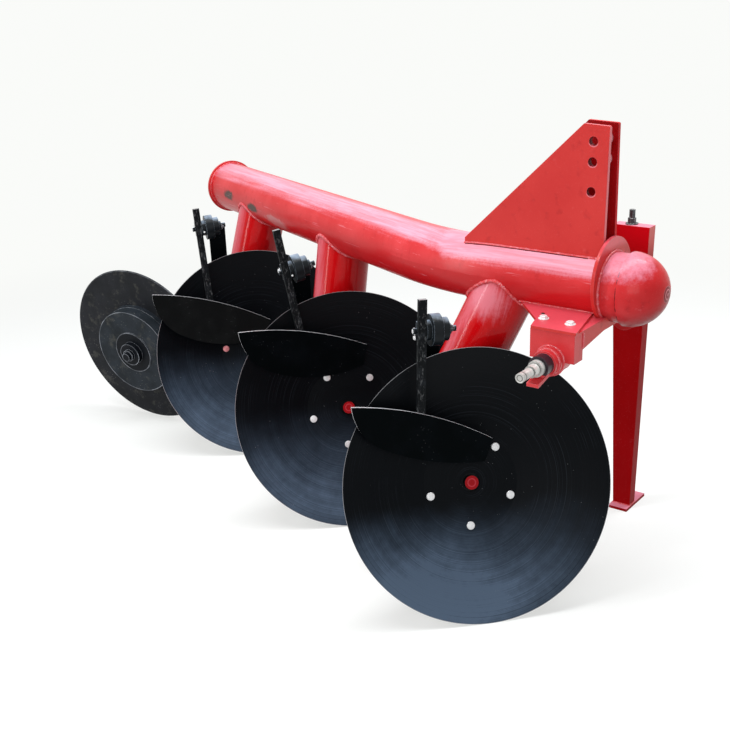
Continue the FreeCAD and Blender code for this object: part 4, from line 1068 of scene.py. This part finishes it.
def grow_bolt_tree(tree, given):
    def kept(name, kind):
        """What each point carries under a name."""
        return tree.add(
            "GeometryNodeInputNamedAttribute", {"data_type": kind}, {"Name": name}, "Attribute")

    shape = tree.add(
        "GeometryNodeObjectInfo", {"transform_space": "ORIGINAL"}, {"Object": given["Pattern"]},
        "Geometry")
    aim = tree.add(
        "FunctionNodeAlignRotationToVector", {"axis": "Z"},
        {"Vector": kept("outward", "FLOAT_VECTOR")})
    turn = tree.add(
        "FunctionNodeRandomValue", {"data_type": "FLOAT"},
        {FLOAT_MAX: given["Loose turn"], "Seed": given["Seed"]}, FLOAT_VALUE)
    spin = tree.add("FunctionNodeAxisAngleToRotation", {}, {"Axis": (0, 0, 1), "Angle": turn})
    both = tree.add("FunctionNodeRotateRotation", {"rotation_space": "LOCAL"}, {0: aim, 1: spin})
    copies = tree.add("GeometryNodeInstanceOnPoints", {}, {
        "Points": given["Places"], "Instance": shape, "Rotation": both,
        "Scale": kept("size", "FLOAT")})
    tree.paint(copies, given["Plating"])


grow_bolt_tree(BOLTS, BOLTS.given)

# %% [markdown]
# A pattern is drawn once for a bolt of unit radius across its corners, so a place's size is that
# radius in millimetres. Heads reach a little below their seat, so none stands off the plate.

# %% Bolt patterns
HEX_HEAD = [
    (0, -0.2), (1.35, -0.2), (1.35, 0.12), (1.0, 0.12), (1.0, 0.62), (0.86, 0.74), (0, 0.74)]
HEX_NUT = [
    (0, -0.2), (1.0, -0.2), (1.0, 0.7), (0.86, 0.82), (0.5, 0.82), (0.5, 1.25), (0.42, 1.35),
    (0, 1.35)]
FLAT_HEAD = [(0, -0.1), (1.0, -0.1), (1.0, 0.16), (0.9, 0.26), (0.4, 0.3), (0, 0.3)]
# each pattern's profile, its sides, and which of its rows are six-sided
PATTERNS = {
    "hex": (HEX_HEAD, 24, (3, 4, 5)), "nut": (HEX_NUT, 24, (1, 2, 3)), "flat": (FLAT_HEAD, 28, ())}


def fasten(name, kind, places, plating, body, seed=7):
    """Bolts at (place, outward, size) rows, as one plain mesh on a body."""
    source = mesh_object("places", [place for place, _, _ in places])
    marks = source.data.attributes
    marks.new("outward", "FLOAT_VECTOR", "POINT")
    marks.new("size", "FLOAT", "POINT")
    for index, (_, direction, scale) in enumerate(places):
        marks["outward"].data[index].vector = Vector(direction).normalized()
        marks["size"].data[index].value = scale / 1000
    shape = lathe("pattern_" + kind, *PATTERNS[kind])
    made = run_tree(source, BOLTS, name, Pattern=shape, Loose_turn=1.0, Seed=seed, Plating=plating)
    bpy.data.objects.remove(shape)
    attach(made, body)
    print(name, len(places), "pieces", len(made.data.polygons), "faces")


# %% [markdown]
# Plough bolts have flat heads that sit almost flush in the dish. Five hold each disc to its hub,
# and their nuts show on the hub's back. A ray beside each bolt finds the dish's face, and another
# from behind finds the hub's.

# %% Disc bolts
BOLT_CIRCLE, BESIDE = 0.106, 0.0085
BOLT_PHASES = (48.8, 48.8, 24.8)     # degrees from each disc's level line to its first bolt


def disc_axes(number):
    """A disc's centre and axis, and the level and the upward direction in its plane."""
    joint = JOINTS["disc_%d_spin" % number]
    centre, axis = Vector(joint["pos_m"]), Vector(joint["axis"])
    across = UP.cross(axis).normalized()
    return centre, axis, across, axis.cross(across)


for number in (1, 2, 3):
    centre, axis, across, up = disc_axes(number)
    dish, back = surface_of("disc_%d" % number), surface_of("hub_%d" % number)
    heads, nuts = [], []
    for spoke in spokes(across, -up, 5, -math.radians(BOLT_PHASES[number - 1])):
        beside = centre + spoke * (BOLT_CIRCLE - BESIDE)
        front_hit = dish.ray_cast(beside + axis * 0.05, -axis)[0]
        back_hit = back.ray_cast(beside - axis * 0.25, axis)[0]
        heads.append((front_hit + spoke * BESIDE, axis, 10.2))
        nuts.append((back_hit + spoke * BESIDE, -axis, 11.0))
    body = "disc_unit_%d" % number
    # the third disc's bolts carry a painted reflection of red
    plating = BOLT_RED_REFLECTION if number == 3 else BOLT_ZINC
    fasten("disc_bolts_%d" % number, "flat", heads, plating, body)
    fasten("disc_nuts_%d" % number, "nut", nuts, DARK_ZINC, body, seed=number)

# %% [markdown]
# Two hex bolts with washers hold each bracket plate down on its hitch box. Behind them is a small
# hole, drawn as a flat dark disc of painted shade. The plates are level, so all of these are placed
# by their sizes.

# %% Bracket bolts
BRACKET_TOP = 716
bracket_bolts, bracket_holes = [], []
for side in (-1, 1):
    for x, y in ((155, 101), (163, 172)):
        bracket_bolts.append((at(side * x, y, BRACKET_TOP), UP, 9.5))
    bracket_holes.append((at(side * 123, 82, BRACKET_TOP), UP, 4.6))
fasten("bracket_bolts", "hex", bracket_bolts, BOLT_ZINC, "frame", seed=3)
# dark discs of painted shade where the small holes are
fasten("bracket_plugs", "flat", bracket_holes, HOLE_SHADE_PLUG, "frame")

# %% [markdown]
# Each clamp carries set bolts beside the stem and a nut behind it. They are placed from the
# clamp's own outermost points, so they follow it if it grows. Each bearing housing has a bolted
# cover behind, with six bolts in a circle.

# %% Clamp and housing bolts
COVER_CIRCLE = 0.048
clamp_studs, clamp_nuts, housing_bolts = [], [], []
for number in (1, 2, 3):
    centre, axis, across, up = disc_axes(number)
    clamp = "scraper_clamp_%d" % number
    points = [vertex.co for vertex in NODES[clamp].data.vertices]
    outer = max(-p.dot(across) for p in points)
    end = [p for p in points if -p.dot(across) > outer - 0.0005]
    head = sum(end, Vector()) / len(end)
    clamp_studs.append((head + across * 0.004, -across, 6.2))
    if number == 1:
        clamp_studs.append((head + across * 0.004 - up * 0.015, -across, 4.6))
    else:
        beside = head + across * 0.036 - up * 0.016
        seat = surface_of(clamp).ray_cast(beside + axis * 0.2, -axis)[0]
        clamp_studs.append((seat, axis, 2.4))
    tail = max(points, key=lambda p: p.dot(across))
    clamp_nuts.append((tail - across * 0.017, across, 9.0))
    housing = surface_of("bearing_housing_%d" % number)
    for spoke in spokes(across, up, 6):
        seat = housing.ray_cast(centre + spoke * COVER_CIRCLE - axis * 0.5, axis)[0]
        housing_bolts.append((seat, -axis, 8.0))
fasten("clamp_studs", "hex", clamp_studs, BOLT_ZINC, "frame", seed=9)
fasten("clamp_nuts", "nut", clamp_nuts, DARK_ZINC, "frame", seed=12)
fasten("housing_bolts", "hex", housing_bolts, DARK_ZINC, "frame", seed=5)

# %% [markdown]
# The plough stands on a pale seamless floor. Floor and sky are white only to the eye and to
# reflections, so they light the plough less than they show. Further out the floor turns into the
# sky's own white, so no horizon shows.

# %% Floor and sky
FLOOR_REACH = 30.0
SKY_WHITE, SKY_FILL = (0.955, 0.965, 0.945), (0.27, 0.28, 0.30)
FLOOR_GLOW = (0.56, 0.565, 0.55)
corners = [(x * FLOOR_REACH, y * FLOOR_REACH, 0) for x, y in ((-1, -1), (1, -1), (1, 1), (-1, 1))]
floor = mesh_object("floor", corners, (), [(0, 1, 2, 3)])


def seen_or_mirrored(nodes):
    """1 for a ray from the eye, a mirror or glass."""
    rays = ("Is Camera Ray", "Is Glossy Ray", "Is Transmission Ray")
    eye, mirror, glass = (nodes.add("ShaderNodeLightPath", output=ray) for ray in rays)
    return eye.most(mirror).most(glass)


def floor_white():
    finish = Finish("floor_white")
    colour = finish.tint(finish.noise(0.8, 2.0), (0.46, 0.46, 0.455), (0.48, 0.48, 0.475))
    near = finish.add("ShaderNodeBsdfPrincipled", {}, {
        "Base Color": colour, "Roughness": 0.9, "Specular IOR Level": 0.0,
        "Emission Strength": 1.0,
        "Emission Color": finish.tint(seen_or_mirrored(finish), (0, 0, 0), FLOOR_GLOW)})
    far = finish.add("ShaderNodeEmission", {}, {"Color": (*SKY_WHITE, 1), "Strength": 1.0})
    fade = finish.away((0, 0, 0)).band(1.5, 3.4)
    return finish.surface(finish.add("ShaderNodeMixShader", {}, {0: fade, 1: near, 2: far}))


floor.data.materials.append(floor_white())

world = bpy.data.worlds.new("studio")
bpy.context.scene.world = world
world.use_nodes = True
sky = Nodes(world.node_tree)
shown = sky.tint(seen_or_mirrored(sky), SKY_FILL, SKY_WHITE)
glow = sky.add("ShaderNodeBackground", {}, {"Color": shown, "Strength": 1.0})
sky.add("ShaderNodeOutputWorld", {}, {"Surface": glow})
print("floor", FLOOR_REACH * 2, "m wide")

# %% [markdown]
# One long soft box hangs overhead. It draws the broad pale band along the beam's upper side and
# the lighter foot of each dish. A narrow strip behind on the right and a broad soft box ahead fill
# the shadows.

# %% Lamps
def lamp(name, place, target, width, height, watts, colour=(1, 1, 1)):
    light = bpy.data.lights.new(name, "AREA")
    light.shape = "RECTANGLE"
    light.size, light.size_y = width, height
    light.energy = watts
    light.color = colour
    thing = put(name, light)
    thing.location = place
    thing.rotation_mode = "QUATERNION"
    thing.rotation_quaternion = (target - place).to_track_quat("-Z", "Y")
    print(name, watts, "W")


lamp("overhead", at(-250, -200, 3900), at(-50, -300, 500), 0.9, 5.2, 175, (0.95, 0.98, 1.0))
lamp("left_strip", at(2300, -2300, 1700), at(0, -300, 500), 0.4, 2.8, 42)
lamp("front_fill", at(3200, 1900, 1900), at(0, -200, 500), 2.4, 2.0, 40)

# %% [markdown]
# The camera stands ahead of the plough on its right, a little above the mast, with a normal lens.
# Its pitch, yaw and roll give the three directions of its view, and those three are its rotation.

# %% Camera
PITCH, YAW, ROLL = math.radians(19.54), math.radians(217.29), -0.03019
level = math.cos(PITCH)
view = Vector((level * math.cos(YAW), level * math.sin(YAW), -math.sin(PITCH)))
across = Vector((view.y, -view.x, 0)).normalized()
top = across.cross(view)
view_right = across * math.cos(ROLL) + top * math.sin(ROLL)
view_top = top * math.cos(ROLL) - across * math.sin(ROLL)
camera = put("camera", bpy.data.cameras.new("camera"))
camera.data.lens = 55.46
camera.data.sensor_width = 36.0
camera.rotation_mode = "QUATERNION"
camera.rotation_quaternion = Matrix((view_right, view_top, -view)).transposed().to_quaternion()
camera.location = at(2348, 1256, 1484)
bpy.context.scene.camera = camera
bpy.context.scene.view_settings.view_transform = "Standard"
print("camera at", [round(v, 3) for v in camera.location])
